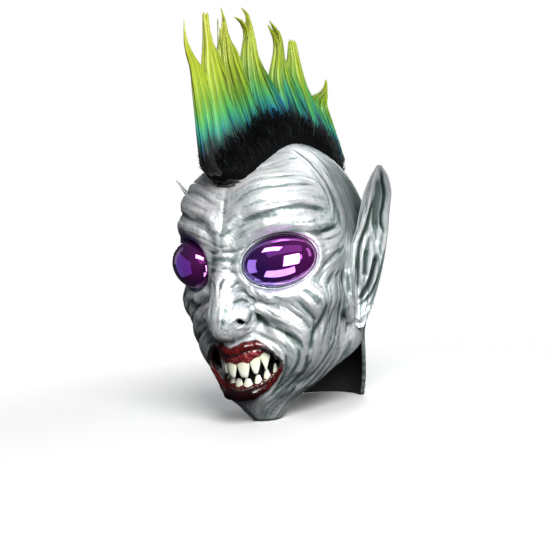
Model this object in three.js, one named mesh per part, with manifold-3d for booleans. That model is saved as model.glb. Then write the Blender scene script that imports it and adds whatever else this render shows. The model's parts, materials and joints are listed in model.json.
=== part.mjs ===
// Latex overhead monster mask: a hollow skin with two sprung ears, domed eye lenses in bezel rings,
// two dental plates with separate teeth, a breathing cloth behind the mouth and a crest of tufted hair.
// Millimetres, +Z up, the face looks along -Y, X = 0 is the plane of symmetry, Z = 0 is the chin and nape rim.
import * as THREE from "three";
import { mergeVertices } from "three/addons/utils/BufferGeometryUtils.js";
import Module from "manifold-3d";

const wasm = await Module();
wasm.setup();

// ---------------------------------------------------------------- driving dimensions
const WALL = 3.2; // latex thickness
const GAP = 0.3; // clearance between touching pieces
const CENTRE = new THREE.Vector3(0, -15, 112); // the head is star-shaped about this point
const HEAD = [
  // "e": ellipsoid centre, half sizes, blend.  "c": capsule end, end, radii, blend.
  // "o": ellipsoid turned with the eye: centre, half sizes, turn, tilt, blend.  All mirrored in X.
  ["e", 0, -20, 176, 74, 88, 87, 0], // skull
  ["e", 0, 8, 156, 73, 73, 92, 18], // back of the head
  ["c", 0, 8, 110, 0, 8, -30, 62, 56, 18], // nape and neck
  ["e", 30, -64, 198, 40, 42, 38, 24], // forehead lobe
  ["e", 54, -54, 172, 22, 34, 20, 18], // outer brow
  ["e", 0, -66, 136, 62, 42, 58, 22], // middle of the face
  ["o", 30, -65, 151, 60, 42, 38, 34, 9, 10], // eye mound
  ["e", 58, -62, 116, 24, 30, 20, 16], // cheekbone
  ["e", 56, -12, 108, 13, 40, 50, 18], // side of the face
  ["e", 0, -78, 61, 42, 43, 37, 18], // muzzle
  ["c", 0, -84, 16, 9, -81, 16, 18, 18, 16], // chin
  ["c", 14, -76, 22, 57, -12, 66, 15, 15, 16], // jaw
  ["e", 41, -60, 84, 27, 38, 38, 18], // cheek
  ["c", 0, -107, 168, 0, -122, 108, 9, 15, 12], // nose bridge
  ["c", 0, -124, 100, 0, -125, 97, 14, 13, 8], // nose ball
  ["e", 15, -112, 102, 9, 14, 10, 7], // nose wing
];
// Lower edge of the skin seen from the side: height over depth, the same at every X.
const RIM = [[-66, 0], [-62, 6], [-53, 24], [-30, 45], [-5, 62], [28, 62], [40, 30], [50, 0]];
const EYE = { x: 46.5, y: -93.5, z: 153, turn: 34, tilt: 9, a: 34.5, b: 23.3, dome: 22, flange: 4.2 };
const MOUTH = [[-40, 61], [-34, 70], [-22, 77], [-12, 75.5], [0, 71], [12, 75.5], [22, 77], [34, 70], [40, 61], [37, 52], [30, 44], [22, 38], [12, 34], [0, 32], [-12, 34], [-22, 38], [-30, 44], [-37, 52]];
const UPPER = { y: -107, curve: 42, z: 67, h: 17, d: 8, half: 33 };
const LOWER = { y: -100, curve: 42, z: 37, h: 10, d: 7, half: 26 };
// x, width, top, bottom, pointed
const UPPER_TEETH = [["incisor", 5.9, 10.8, 64, 47.2, 0.55], ["lateral", 15, 8, 67, 50.2, 0.45], ["fang", 22.2, 9.4, 72, 52, 0.12], ["molar", 29.4, 7.2, 71, 60.5, 0.15]];
const LOWER_TEETH = [["incisor", 4.6, 8.4, 44.6, 35, 0.6], ["lateral", 13.2, 6, 47, 37, 0.45], ["canine", 19.2, 5.6, 51.5, 40, 0.4], ["molar", 24.4, 4.2, 55, 44, 0.3]];
const CREST = { front: -101, back: 80, halfStrip: 9, halfBase: 27, height: 25 };
const EAR = [
  // z, front edge (x, y), rear edge (x, y)
  [78, 76.4, -12, 79.5, -9],
  [95, 76.4, -13, 85.5, 1],
  [112, 77.2, -13.5, 89.5, 6],
  [131, 78.6, -13.5, 95, 10],
  [150, 80.2, -13.5, 99, 13],
  [168, 82, -13, 103, 13.5],
  [185, 88.5, -15, 107, 11.5],
  [205, 97.5, -19, 115.5, 4],
  [221, 108.5, -22, 119, -7],
  [231, 116.5, -22, 118.8, -18],
];

// ---------------------------------------------------------------- solids
const smin = (a, b, k) => {
  const h = Math.min(1, Math.max(0, 0.5 + (0.5 * (b - a)) / k));
  return b + (a - b) * h - k * h * (1 - h);
};
function primitive(p, x, y, z) {
  if (p[0] === "e") {
    const u = (x - p[1]) / p[4], v = (y - p[2]) / p[5], w = (z - p[3]) / p[6];
    const k0 = Math.hypot(u, v, w), k1 = Math.hypot(u / p[4], v / p[5], w / p[6]) + 1e-9;
    return (k0 * (k0 - 1)) / k1;
  }
  if (p[0] === "o") {
    const q = (p[7] * Math.PI) / 180, c = (p[8] * Math.PI) / 180;
    const dx = x - p[1], dy = y - p[2], dz = z - p[3];
    const h = dx * Math.cos(q) + dy * Math.sin(q), w = dx * Math.sin(q) - dy * Math.cos(q);
    const u = h * Math.cos(c) + dz * Math.sin(c), v = -h * Math.sin(c) + dz * Math.cos(c);
    const k0 = Math.hypot(u / p[4], v / p[5], w / p[6]), k1 = Math.hypot(u / p[4] ** 2, v / p[5] ** 2, w / p[6] ** 2) + 1e-9;
    return (k0 * (k0 - 1)) / k1;
  }
  const ax = p[1], ay = p[2], az = p[3], bx = p[4] - ax, by = p[5] - ay, bz = p[6] - az;
  const t = Math.min(1, Math.max(0, ((x - ax) * bx + (y - ay) * by + (z - az) * bz) / (bx * bx + by * by + bz * bz)));
  return Math.hypot(x - ax - t * bx, y - ay - t * by, z - az - t * bz) - (p[7] + (p[8] - p[7]) * t);
}
function head(x, y, z) {
  x = Math.abs(x);
  let f = primitive(HEAD[0], x, y, z);
  for (let i = 1; i < HEAD.length; i++) f = smin(f, primitive(HEAD[i], x, y, z), HEAD[i][HEAD[i].length - 1]);
  return f;
}
// Distance from CENTRE to the surface lying `inset` under the skin's outside, along d.
function reach(d, inset) {
  const at = (r) => head(CENTRE.x + d.x * r, CENTRE.y + d.y * r, CENTRE.z + d.z * r) + inset;
  let r = 240;
  while (r > 5 && at(r) > 0) r -= 4;
  let lo = r, hi = r + 4;
  for (let i = 0; i < 14; i++) {
    const m = (lo + hi) / 2;
    if (at(m) < 0) lo = m;
    else hi = m;
  }
  return lo;
}
function headSurface(detail, inset) {
  const g = closed(new THREE.IcosahedronGeometry(1, detail));
  const pos = g.getAttribute("position"), d = new THREE.Vector3();
  for (let i = 0; i < pos.count; i++) {
    d.fromBufferAttribute(pos, i).normalize();
    const r = reach(d, inset);
    pos.setXYZ(i, CENTRE.x + d.x * r, CENTRE.y + d.y * r, CENTRE.z + d.z * r);
  }
  return g;
}
function closed(g) {
  g = g.clone();
  g.deleteAttribute("normal");
  g.deleteAttribute("uv");
  return mergeVertices(g, 1e-4);
}
function solid(g) {
  g = closed(g);
  const v = g.getAttribute("position").array, t = new Uint32Array(g.index.array);
  let volume = 0;
  for (let i = 0; i < t.length; i += 3) {
    const [a, b, c] = [t[i] * 3, t[i + 1] * 3, t[i + 2] * 3];
    volume += v[a] * (v[b + 1] * v[c + 2] - v[b + 2] * v[c + 1]) - v[a + 1] * (v[b] * v[c + 2] - v[b + 2] * v[c]) + v[a + 2] * (v[b] * v[c + 1] - v[b + 1] * v[c]);
  }
  if (volume < 0) for (let i = 0; i < t.length; i += 3) [t[i + 1], t[i + 2]] = [t[i + 2], t[i + 1]];
  return new wasm.Manifold(new wasm.Mesh({ numProp: 3, vertProperties: new Float32Array(v), triVerts: t }));
}
function geometryOf(s) {
  const m = s.getMesh(), n = m.numProp, v = new Float32Array(m.numVert * 3);
  for (let i = 0; i < m.numVert; i++) v.set(m.vertProperties.subarray(i * n, i * n + 3), i * 3);
  const g = new THREE.BufferGeometry();
  g.setAttribute("position", new THREE.BufferAttribute(v, 3));
  g.setIndex(new THREE.BufferAttribute(new Uint32Array(m.triVerts), 1));
  g.computeVertexNormals();
  return g;
}
// A closed body through rings of the same number of points, its ends closed by fans.
function loft(rings) {
  const n = rings[0].length, v = [], t = [];
  for (const ring of rings) for (const p of ring) v.push(...p);
  for (let i = 0; i + 1 < rings.length; i++)
    for (let j = 0; j < n; j++) {
      const a = i * n + j, b = i * n + ((j + 1) % n), c = a + n, d = b + n;
      t.push(a, b, d, a, d, c);
    }
  for (const [k, flip] of [[0, true], [rings.length - 1, false]]) {
    const m = [0, 0, 0];
    for (const p of rings[k]) for (let i = 0; i < 3; i++) m[i] += p[i] / n;
    const o = v.length / 3;
    v.push(...m);
    for (let j = 0; j < n; j++) {
      const a = k * n + j, b = k * n + ((j + 1) % n);
      t.push(...(flip ? [o, b, a] : [o, a, b]));
    }
  }
  const g = new THREE.BufferGeometry();
  g.setAttribute("position", new THREE.Float32BufferAttribute(v, 3));
  g.setIndex(t);
  return g;
}
const ellipseShape = (a, b, n) => {
  const s = new THREE.Shape();
  for (let i = 0; i < n; i++) {
    const q = (2 * Math.PI * i) / n;
    i ? s.lineTo(a * Math.cos(q), b * Math.sin(q)) : s.moveTo(a, 0);
  }
  s.closePath();
  return s;
};
// Frame of the left eye: local X along the slit, Y up across it, Z out of the face.
function eyeMatrix(side) {
  const q = THREE.MathUtils.degToRad(EYE.turn), c = THREE.MathUtils.degToRad(EYE.tilt);
  const n = new THREE.Vector3(Math.sin(q) * side, -Math.cos(q), 0);
  const h = new THREE.Vector3(Math.cos(q), Math.sin(q) * side, 0);
  const u = h.clone().multiplyScalar(Math.cos(c)).add(new THREE.Vector3(0, 0, side * Math.sin(c)));
  const v = new THREE.Vector3().crossVectors(n, u);
  return new THREE.Matrix4().makeBasis(u, v, n).setPosition(EYE.x * side, EYE.y, EYE.z);
}
function extruded(shape, from, to) {
  const g = new THREE.ExtrudeGeometry(shape, { depth: to - from, bevelEnabled: false });
  g.translate(0, 0, from);
  return g;
}
const inEye = (g, side) => g.clone().applyMatrix4(eyeMatrix(side));

// ---------------------------------------------------------------- skin
function makeSkin() {
  let skin = solid(headSurface(11, 0));
  // A prism over the side view: everything under the rim goes.
  const under = new THREE.Shape();
  under.moveTo(-190, 0);
  for (const [y, z] of RIM) under.lineTo(y, z);
  under.lineTo(190, 0);
  under.lineTo(190, -160);
  under.lineTo(-190, -160);
  under.closePath();
  const prism = extruded(under, -150, 150);
  prism.applyMatrix4(new THREE.Matrix4().makeBasis(new THREE.Vector3(0, 1, 0), new THREE.Vector3(0, 0, 1), new THREE.Vector3(1, 0, 0)));
  // The inside stops above the chin's flat, so that the wall stays whole there.
  const sole = new THREE.BoxGeometry(120, 60, 40);
  sole.translate(0, -92, -16);
  const inner = solid(headSurface(7, WALL)).subtract(solid(sole));
  const mouth = new THREE.Shape(MOUTH.map(([x, z]) => new THREE.Vector2(x, z)));
  const mouthCut = extruded(mouth, 60, 160);
  mouthCut.rotateX(Math.PI / 2); // local +Y becomes +Z and the depth runs along -Y
  skin = skin.subtract(inner);
  for (const side of [-1, 1]) {
    const a = EYE.a, b = EYE.b, f = EYE.flange;
    const seat = extruded(ellipseShape(a + f + 2.4, b + f + 2.4, 28), -6.5, -2);
    const cut = extruded(ellipseShape(a + f + 0.5, b + f + 0.5, 28), -2, 60);
    const hole = extruded(ellipseShape(a - 1.8, b - 1.8, 28), -30, 40);
    skin = skin.add(solid(inEye(seat, side))).subtract(solid(inEye(cut, side))).subtract(solid(inEye(hole, side)));
    const pit = new THREE.SphereGeometry(1, 10, 8);
    pit.scale(3.2, 3.6, 4.2);
    pit.translate(side * 12.6, -118.2, 93.5);
    skin = skin.subtract(solid(pit));
  }
  return skin.subtract(solid(mouthCut)).subtract(solid(prism));
}

// ---------------------------------------------------------------- eyes
function lens() {
  const k = 1.0, steps = 5, pts = [];
  const wall = 1.8, rf = (EYE.a + EYE.flange) / EYE.a;
  for (let i = 0; i <= steps; i++) {
    const q = (Math.PI / 2) * (i / steps);
    pts.push(new THREE.Vector2((k - wall / EYE.a) * Math.sin(q), (EYE.dome - wall) * Math.cos(q) - 0.2));
  }
  pts.push(new THREE.Vector2(k - wall / EYE.a, -1.7), new THREE.Vector2(rf, -1.7), new THREE.Vector2(rf, -0.2), new THREE.Vector2(k, -0.2));
  for (let i = steps - 1; i >= 0; i--) {
    const q = (Math.PI / 2) * (i / steps);
    pts.push(new THREE.Vector2(k * Math.sin(q), EYE.dome * Math.cos(q)));
  }
  pts[0].x = 0;
  pts[pts.length - 1].x = 0;
  const g = new THREE.LatheGeometry(pts, 24); // its axis is local Y
  g.rotateX(Math.PI / 2); // the dome now points along local +Z
  g.scale(EYE.a, EYE.b, 1);
  return g;
}
function bezel() {
  const n = 28, rings = [];
  for (let i = 0; i < n; i++) {
    const q = (2 * Math.PI * i) / n, c = Math.cos(q), s = Math.sin(q);
    const at = (o, w) => [(EYE.a + o) * c, (EYE.b + o) * s, w];
    rings.push([at(0.5, 0.15), at(EYE.flange, 0.15), at(EYE.flange + 0.1, 2), at(2.6, 3.6), at(0.9, 2.6)]);
  }
  const v = rings.flat(2), t = [], m = 5;
  for (let i = 0; i < n; i++)
    for (let j = 0; j < m; j++) {
      const a = i * m + j, b = i * m + ((j + 1) % m), c = ((i + 1) % n) * m + j, d = ((i + 1) % n) * m + ((j + 1) % m);
      t.push(a, b, d, a, d, c);
    }
  const g = new THREE.BufferGeometry();
  g.setAttribute("position", new THREE.Float32BufferAttribute(v, 3));
  g.setIndex(t);
  return g;
}

// ---------------------------------------------------------------- mouth
const archY = (arch, x) => arch.y + (x * x) / arch.curve;
function gum(arch, lift) {
  const rings = [];
  for (let i = 0; i <= 12; i++) {
    const x = -arch.half + (2 * arch.half * i) / 12, y = archY(arch, x), slope = (2 * x) / arch.curve;
    const len = Math.hypot(1, slope), nx = slope / len, ny = -1 / len; // outward across the arch
    const z = arch.z + lift * (x / arch.half) ** 2, ring = [];
    for (let j = 0; j < 8; j++) {
      const q = (2 * Math.PI * (j + 0.5)) / 8, o = (arch.d / 2) * Math.cos(q) - 1, w = (arch.h / 2) * Math.sin(q);
      ring.push([x + nx * o, y + ny * o, z + w]);
    }
    rings.push(ring);
  }
  return solid(loft(rings));
}
// A tooth stands on its arch: a rounded peg, flat across the front, narrowing from root to edge.
function tooth(arch, side, x, width, top, bottom, point, upper, grow) {
  const rings = [], px = side * x, y = archY(arch, px), slope = (2 * px) / arch.curve, len = Math.hypot(1, slope);
  const tx = 1 / len, ty = slope / len, nx = slope / len, ny = -1 / len;
  const root = upper ? top : bottom, edge = upper ? bottom : top, n = 4;
  for (let i = 0; i <= n; i++) {
    const f = i / n, z = root + (edge - root) * f;
    const w = (width / 2) * (0.8 + 0.2 * Math.sin(Math.PI * Math.min(1, f * 1.1))) * (1 - (1 - point) * Math.max(0, f - 0.45) ** 1.4 * 2.2) + grow;
    const d = 2.9 * (1 - 0.62 * f) + grow, ring = [];
    for (let j = 0; j < 7; j++) {
      const q = (2 * Math.PI * j) / 7, a = Math.max(w, 0.5) * Math.cos(q), b = d * Math.sin(q) + 1.2;
      ring.push([px + tx * a + nx * b, y + ty * a + ny * b, z + (i === 0 ? (upper ? grow : -grow) : i === n ? (upper ? -grow : grow) : 0)]);
    }
    rings.push(ring);
  }
  return solid(loft(rings));
}
function backing() {
  const rings = [];
  for (let i = 0; i <= 12; i++) {
    const x = -34 + (68 * i) / 12, y = -86 + (x * x) / 60;
    rings.push([[x, y, 34], [x, y + 1.2, 34], [x, y + 1.2, 78], [x, y, 78]]);
  }
  return solid(loft(rings));
}

// ---------------------------------------------------------------- hair
const PIVOT = new THREE.Vector3(0, -12, 150);
// A point over the skull: pitch runs from the face (0) over the crown (90) to the back (180), lateral leans to the side.
function over(pitch, lateral, height) {
  const a = THREE.MathUtils.degToRad(pitch), b = Math.asin(Math.max(-1, Math.min(1, lateral / 100)));
  const d = new THREE.Vector3(Math.sin(b), -Math.cos(a) * Math.cos(b), Math.sin(a) * Math.cos(b));
  let lo = 20, hi = 200;
  for (let i = 0; i < 24; i++) {
    const m = (lo + hi) / 2;
    if (head(PIVOT.x + d.x * m, PIVOT.y + d.y * m, PIVOT.z + d.z * m) < 0) lo = m;
    else hi = m;
  }
  const r = lo + height;
  return [PIVOT.x + d.x * r, PIVOT.y + d.y * r, PIVOT.z + d.z * r];
}
const PITCH0 = 39, PITCH1 = 139;
function strip() {
  const rings = [];
  for (let i = 0; i <= 20; i++) {
    const p = PITCH0 + 1 + ((PITCH1 - PITCH0 - 2) * i) / 20, w = CREST.halfStrip;
    rings.push([over(p, -w, 1.6), over(p, 0, 1.4), over(p, w, 1.6), over(p, w, 2.8), over(p, 0, 2.6), over(p, -w, 2.8)]);
  }
  return solid(loft(rings));
}
function undercoat() {
  const rings = [];
  for (let i = 0; i <= 16; i++) {
    const f = i / 16, p = PITCH0 + (PITCH1 - PITCH0) * f, ring = [];
    const w = CREST.halfBase * Math.min(1, 0.62 + 2.2 * f, 0.55 + 3.4 * (1 - f)), m = 6;
    const h = CREST.height * Math.min(1, 0.5 + 3 * f, 0.35 + 3 * (1 - f));
    for (let j = 0; j <= m; j++) ring.push(over(p, w * (-1 + (2 * j) / m), 3.4));
    for (let j = m; j >= 0; j--) {
      const u = -1 + (2 * j) / m;
      ring.push(over(p, w * u * 0.98, 4.8 + h * Math.sqrt(Math.max(0, 1 - u * u))));
    }
    rings.push(ring);
  }
  return solid(loft(rings));
}
// Each tuft: the points of its centre line (y, z) and its half widths along the crest and across it.
const TUFTS = [
  [[-117, 252, 16, 12], [-128, 285, 12, 11], [-134, 315, 8, 8], [-140, 345, 4.5, 4.5], [-139, 374, 1, 1]],
  [[-86, 279, 13, 15], [-93, 301, 12, 12], [-101, 328, 8, 8], [-106, 356, 5, 5], [-107, 380, 3, 3]],
  [[-54, 290, 13, 16], [-63, 312, 12, 13], [-71, 334, 9, 9], [-79, 362, 4, 4], [-79, 387, 1, 1]],
  [[-26, 297, 13, 17], [-31, 318, 13, 14], [-35, 342, 9, 10], [-39, 368, 5, 5], [-48, 388, 1, 1]],
  [[3, 295, 13, 17], [7, 318, 12, 13], [9, 338, 8, 8], [7, 358, 5, 5], [-2, 377, 1.5, 1.5]],
  [[31, 287, 12.5, 15], [38, 306, 10, 11], [41, 326, 6.5, 7], [38, 344, 4.5, 5], [35, 357, 3, 3]],
  [[60, 268, 13, 12], [70, 283, 9, 9], [80, 296, 6, 6], [88, 308, 3.5, 3.5], [96, 320, 0.8, 0.8]],
];
function tuft(rows) {
  const curve = new THREE.CatmullRomCurve3(rows.map(([y, z]) => new THREE.Vector3(0, y, z)));
  const steps = 9, rings = [];
  for (let i = 0; i <= steps; i++) {
    const u = i / steps, p = curve.getPoint(u), t = curve.getTangent(u);
    const f = u * (rows.length - 1), k = Math.min(rows.length - 2, Math.floor(f)), g = f - k;
    const w = rows[k][2] * (1 - g) + rows[k + 1][2] * g, h = rows[k][3] * (1 - g) + rows[k + 1][3] * g, ring = [];
    for (let j = 0; j < 8; j++) {
      const q = (2 * Math.PI * j) / 8;
      ring.push([h * Math.sin(q), p.y + t.z * w * Math.cos(q), p.z - t.y * w * Math.cos(q)]);
    }
    rings.push(ring);
  }
  return solid(loft(rings));
}

// ---------------------------------------------------------------- ears
function ear(side) {
  const rings = [];
  for (const [z, fx, fy, rx, ry] of EAR) {
    const dx = rx - fx, dy = ry - fy, len = Math.hypot(dx, dy), tx = dx / len, ty = dy / len;
    const nx = ty, ny = -tx; // out of the hollow side of the blade, forwards
    const cup = Math.min(6, len * 0.2), th = Math.min(3.4, 1.2 + len * 0.12), ring = [];
    for (const [u, side2] of [[0, 1], [0.25, 1], [0.55, 1], [0.82, 1], [1, 1], [1, -1], [0.8, -1], [0.5, -1], [0.2, -1], [0, -1]]) {
      const sag = -4 * cup * u * (1 - u), o = sag + (side2 * th) / 2;
      ring.push([side * (fx + tx * len * u + nx * o), fy + ty * len * u + ny * o, z]);
    }
    rings.push(ring);
  }
  return solid(loft(rings));
}

// ---------------------------------------------------------------- assembly
const OFFSET_Y = 23.8; // brings the middle of the whole object's box over the origin
const root = new THREE.Group(), object = new THREE.Group();
object.position.y = OFFSET_Y;
root.add(object);
const finish = {
  latex: { color: 0xa9b0b4, roughness: 0.38, metalness: 0.55 },
  lens: { color: 0x5a1a8c, roughness: 0.06, metalness: 0.3 },
  gum: { color: 0x7d2328, roughness: 0.3, metalness: 0 },
  tooth: { color: 0xe9e3c4, roughness: 0.25, metalness: 0 },
  cloth: { color: 0x0b0b0c, roughness: 0.95, metalness: 0 },
  hair_dark: { color: 0x0c0c10, roughness: 0.7, metalness: 0 },
  hair_dyed: { color: 0x86b32c, roughness: 0.6, metalness: 0 },
};
const head_group = new THREE.Group(), ear_groups = { left: new THREE.Group(), right: new THREE.Group() };
object.add(head_group, ear_groups.left, ear_groups.right);
function place(name, s, kind, group = head_group) {
  const mesh = new THREE.Mesh(geometryOf(s), new THREE.MeshStandardMaterial(finish[kind]));
  mesh.name = name;
  group.add(mesh);
}
place("mask_skin", makeSkin(), "latex");
for (const [label, side] of [["left", 1], ["right", -1]]) {
  place(label + "_ear", ear(side), "latex", ear_groups[label]);
  place(label + "_eye_lens", solid(inEye(lens(), side)), "lens");
  place(label + "_eye_bezel", solid(inEye(bezel(), side)), "latex");
}
for (const [prefix, arch, teeth, upper, lift] of [["upper", UPPER, UPPER_TEETH, true, -1], ["lower", LOWER, LOWER_TEETH, false, 9]]) {
  let g = gum(arch, lift);
  for (const [label, x, w, top, bottom, point] of teeth)
    for (const [name, side] of [["left", 1], ["right", -1]]) {
      place(`${prefix}_${name}_${label}`, tooth(arch, side, x, w, top, bottom, point, upper, 0), "tooth");
      g = g.subtract(tooth(arch, side, x, w, top, bottom, point, upper, GAP));
    }
  place(prefix + "_gum", g, "gum");
}
place("mouth_cloth", backing(), "cloth");
place("hair_strip", strip(), "cloth");
place("hair_undercoat", undercoat(), "hair_dark");
TUFTS.forEach((rows, i) => place("hair_tuft_" + (i + 1), tuft(rows), "hair_dyed"));

export default root;
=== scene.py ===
"""Latex overhead monster mask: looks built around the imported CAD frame."""
import math

import bpy
import numpy as np
from mathutils import Matrix, Vector
from mathutils.kdtree import KDTree
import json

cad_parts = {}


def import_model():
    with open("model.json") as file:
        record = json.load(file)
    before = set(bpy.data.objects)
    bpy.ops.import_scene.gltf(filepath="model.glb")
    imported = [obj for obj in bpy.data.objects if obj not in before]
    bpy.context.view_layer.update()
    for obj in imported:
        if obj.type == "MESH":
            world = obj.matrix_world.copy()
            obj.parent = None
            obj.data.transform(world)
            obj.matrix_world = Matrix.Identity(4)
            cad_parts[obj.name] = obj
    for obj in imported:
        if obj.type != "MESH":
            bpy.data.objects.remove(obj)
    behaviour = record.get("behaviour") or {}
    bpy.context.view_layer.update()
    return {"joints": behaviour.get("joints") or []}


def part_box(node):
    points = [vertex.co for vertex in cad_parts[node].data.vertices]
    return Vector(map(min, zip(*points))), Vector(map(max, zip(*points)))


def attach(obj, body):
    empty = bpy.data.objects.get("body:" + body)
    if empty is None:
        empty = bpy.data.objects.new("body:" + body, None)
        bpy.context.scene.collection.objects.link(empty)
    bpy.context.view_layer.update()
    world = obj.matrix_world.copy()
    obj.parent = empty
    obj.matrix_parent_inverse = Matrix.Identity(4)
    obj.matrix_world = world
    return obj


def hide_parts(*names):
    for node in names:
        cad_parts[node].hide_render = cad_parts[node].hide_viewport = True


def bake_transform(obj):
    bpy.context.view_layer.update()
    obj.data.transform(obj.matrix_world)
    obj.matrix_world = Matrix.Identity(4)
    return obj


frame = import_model()
COL = bpy.context.scene.collection
MM = 0.001
# The sculpting frame is in millimetres with the chin at Z = 0 and the face along -Y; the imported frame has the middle
# of the whole box over its origin, so the two differ by one shift in Y, taken from the skin node's box.
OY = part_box("mask_skin")[1][1] * 1000.0 - 80.9


def to_m(p):
    q = np.asarray(p, float) * MM
    q[..., 1] += OY * MM
    return q


def rng(seed):
    return np.random.default_rng(seed)


# ------------------------------------------------------------------ camera
def look_camera():
    az, el, roll = map(math.radians, (33.0216, 5.2458, 5.2604))
    back = Vector((math.sin(az) * math.cos(el), -math.cos(az) * math.cos(el), math.sin(el)))
    right = Vector((math.cos(az), math.sin(az), 0))
    up = back.cross(right)
    r2 = right * math.cos(roll) - up * math.sin(roll)
    u2 = right * math.sin(roll) + up * math.cos(roll)
    dist = 1.4
    cam = bpy.data.cameras.new("camera")
    cam.sensor_width = 36.0
    cam.lens = 1013.684 * dist * 36.0 / 550.0
    cam.clip_start, cam.clip_end = 0.05, 60
    cam.shift_x = -(293.5676 - 275.0) / 550.0
    cam.shift_y = (274.1079 - 275.0) / 550.0
    obj = bpy.data.objects.new("camera", cam)
    COL.objects.link(obj)
    m = Matrix((r2, u2, back)).transposed().to_4x4()
    m.translation = Vector(to_m([0.0, 0.0, 130.0])) + back * dist
    obj.matrix_world = m
    bpy.context.scene.camera = obj
    return obj


CAMERA = look_camera()


# ------------------------------------------------------------------ mesh helpers
def mesh_object(name, verts_mm, faces, body="head", smooth=True, attrs=None):
    me = bpy.data.meshes.new(name)
    v = to_m(verts_mm)
    if isinstance(faces, np.ndarray):
        n, k = faces.shape
        me.vertices.add(len(v))
        me.vertices.foreach_set("co", v.astype(np.float32).ravel())
        me.loops.add(n * k)
        me.loops.foreach_set("vertex_index", faces.astype(np.int32).ravel())
        me.polygons.add(n)
        me.polygons.foreach_set("loop_start", np.arange(0, n * k, k, dtype=np.int32))
        me.update(calc_edges=True)
    else:
        me.from_pydata([tuple(p) for p in v], [], [tuple(int(i) for i in f) for f in faces])
    me.validate()
    if smooth:
        me.polygons.foreach_set("use_smooth", np.ones(len(me.polygons), bool))
    for key, val in (attrs or {}).items():
        add_attr(me, key, val)
    obj = bpy.data.objects.new(name, me)
    COL.objects.link(obj)
    if body:
        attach(obj, body)
    return obj


def add_attr(me, key, val):
    val = np.asarray(val, np.float32)
    if val.ndim == 1:
        a = me.attributes.new(key, "FLOAT", "POINT")
        a.data.foreach_set("value", val)
    else:
        if val.shape[1] == 3:
            val = np.concatenate([val, np.ones((len(val), 1), np.float32)], 1)
        a = me.color_attributes.new(key, "FLOAT_COLOR", "POINT")
        a.data.foreach_set("color", val.ravel())


def tube_faces(n_rings, m, base=0, closed=True, cap=False):
    i, j = np.meshgrid(np.arange(n_rings - 1), np.arange(m if closed else m - 1), indexing="ij")
    a = i * m + j
    b = i * m + (j + 1) % m
    f = np.stack([a, b, b + m, a + m], -1).reshape(-1, 4) + base
    return f


# ------------------------------------------------------------------ the head as a distance field
HEAD = [
    ["e", 0, -20, 176, 74, 88, 87, 0],
    ["e", 0, 8, 156, 73, 73, 92, 18],
    ["c", 0, 8, 110, 0, 8, -30, 62, 56, 18],
    ["e", 30, -64, 198, 40, 42, 38, 24],
    ["e", 54, -54, 172, 22, 34, 20, 18],
    ["e", 0, -66, 136, 62, 42, 58, 22],
    ["o", 30, -65, 151, 60, 42, 38, 34, 9, 10],
    ["e", 58, -62, 116, 24, 30, 20, 16],
    ["e", 56, -12, 108, 13, 40, 50, 18],
    ["e", 0, -78, 61, 42, 43, 37, 18],
    ["c", 0, -84, 16, 9, -81, 16, 18, 18, 16],
    ["c", 14, -76, 22, 57, -12, 66, 15, 15, 16],
    ["e", 41, -60, 84, 27, 38, 38, 18],
    ["c", 0, -107, 168, 0, -122, 108, 9, 15, 12],
    ["c", 0, -124, 100, 0, -125, 97, 14, 13, 8],
    ["e", 15, -112, 102, 9, 14, 10, 7],
]
RIM = np.array([[-66, 0], [-62, 6], [-53, 24], [-30, 45], [-5, 62], [28, 62], [40, 30], [50, 0]], float)
EYE = dict(x=46.5, y=-93.5, z=153.0, turn=34.0, tilt=9.0, a=34.5, b=23.3, dome=22.0, flange=4.2)
WALL = 3.2
# Raised forms on the skin: points with a radius, joined by a chain, and the blend into the skin.
FOLDS = [
    # ridge over the bridge, between the brows
    (7, [(2, -112, 176, 4.6), (7, -110.5, 186, 5.0), (15, -107, 196, 4.6)]),
    # brow roll along the upper edge of the eye
    (8, [(14, -109, 171, 3.6), (26, -108.5, 181, 4.2), (42, -102.5, 187, 4.4), (58, -91, 188, 4.2), (70, -76, 184, 4.0)]),
    # bag under the eye and its two cheek folds
    (5, [(26, -111, 128, 4.0), (40, -106, 122, 4.6), (56, -92, 121, 4.6), (68, -76, 124, 4.0)]),
    (6, [(27, -107, 113, 4.2), (42, -100, 104, 5.2), (54, -86, 92, 5.5), (58, -74, 78, 5.0)]),
    (6, [(36, -97, 92, 3.6), (46, -87, 82, 4.4), (50, -78, 68, 4.4), (46, -76, 52, 4.0)]),
    # flaring wing of the nose
    (4, [(13, -124, 100, 4.2), (18.5, -120, 104, 5.0), (19.5, -114, 110, 4.6)]),
    (4, [(8, -128, 92, 3.4), (14, -121, 90.5, 3.0), (19, -114, 95, 3.2)]),
    # root of the ear: front flange, tragus and lobe bed, all on the skin
    (6, [(70, -27, 165, 3.0), (74, -27, 150, 4.2), (76.5, -25, 132, 5.0), (77, -24, 112, 4.6), (76.5, -20, 98, 3.6)]),
    (5, [(72, -40, 118, 4.6), (74, -32, 102, 5.6), (75, -24, 90, 5.0)]),
]
LIPS = [
    (2.0, [(0, -117.4, 72.0, 3.4), (6, -116.4, 73.4, 3.6), (13, -113.2, 76.6, 3.8), (22, -107.4, 77.8, 3.5), (31, -102.6, 74.4, 2.3), (38, -98.0, 67.0, 1.7), (41.5, -95.6, 60.5, 1.6)]),
    (2.0, [(0, -110.6, 30.0, 5.6), (13, -107.6, 31.5, 5.4), (23, -101.0, 36.8, 4.0), (31.5, -97.3, 44.6, 2.5), (38, -95.8, 52.5, 1.8), (41.5, -95.4, 60.5, 1.6)]),
]
MOUTH = [(0, 71), (12, 75.5), (22, 77), (34, 70), (40, 61), (37, 52), (30, 44), (22, 38), (12, 34), (0, 32)]


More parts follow.
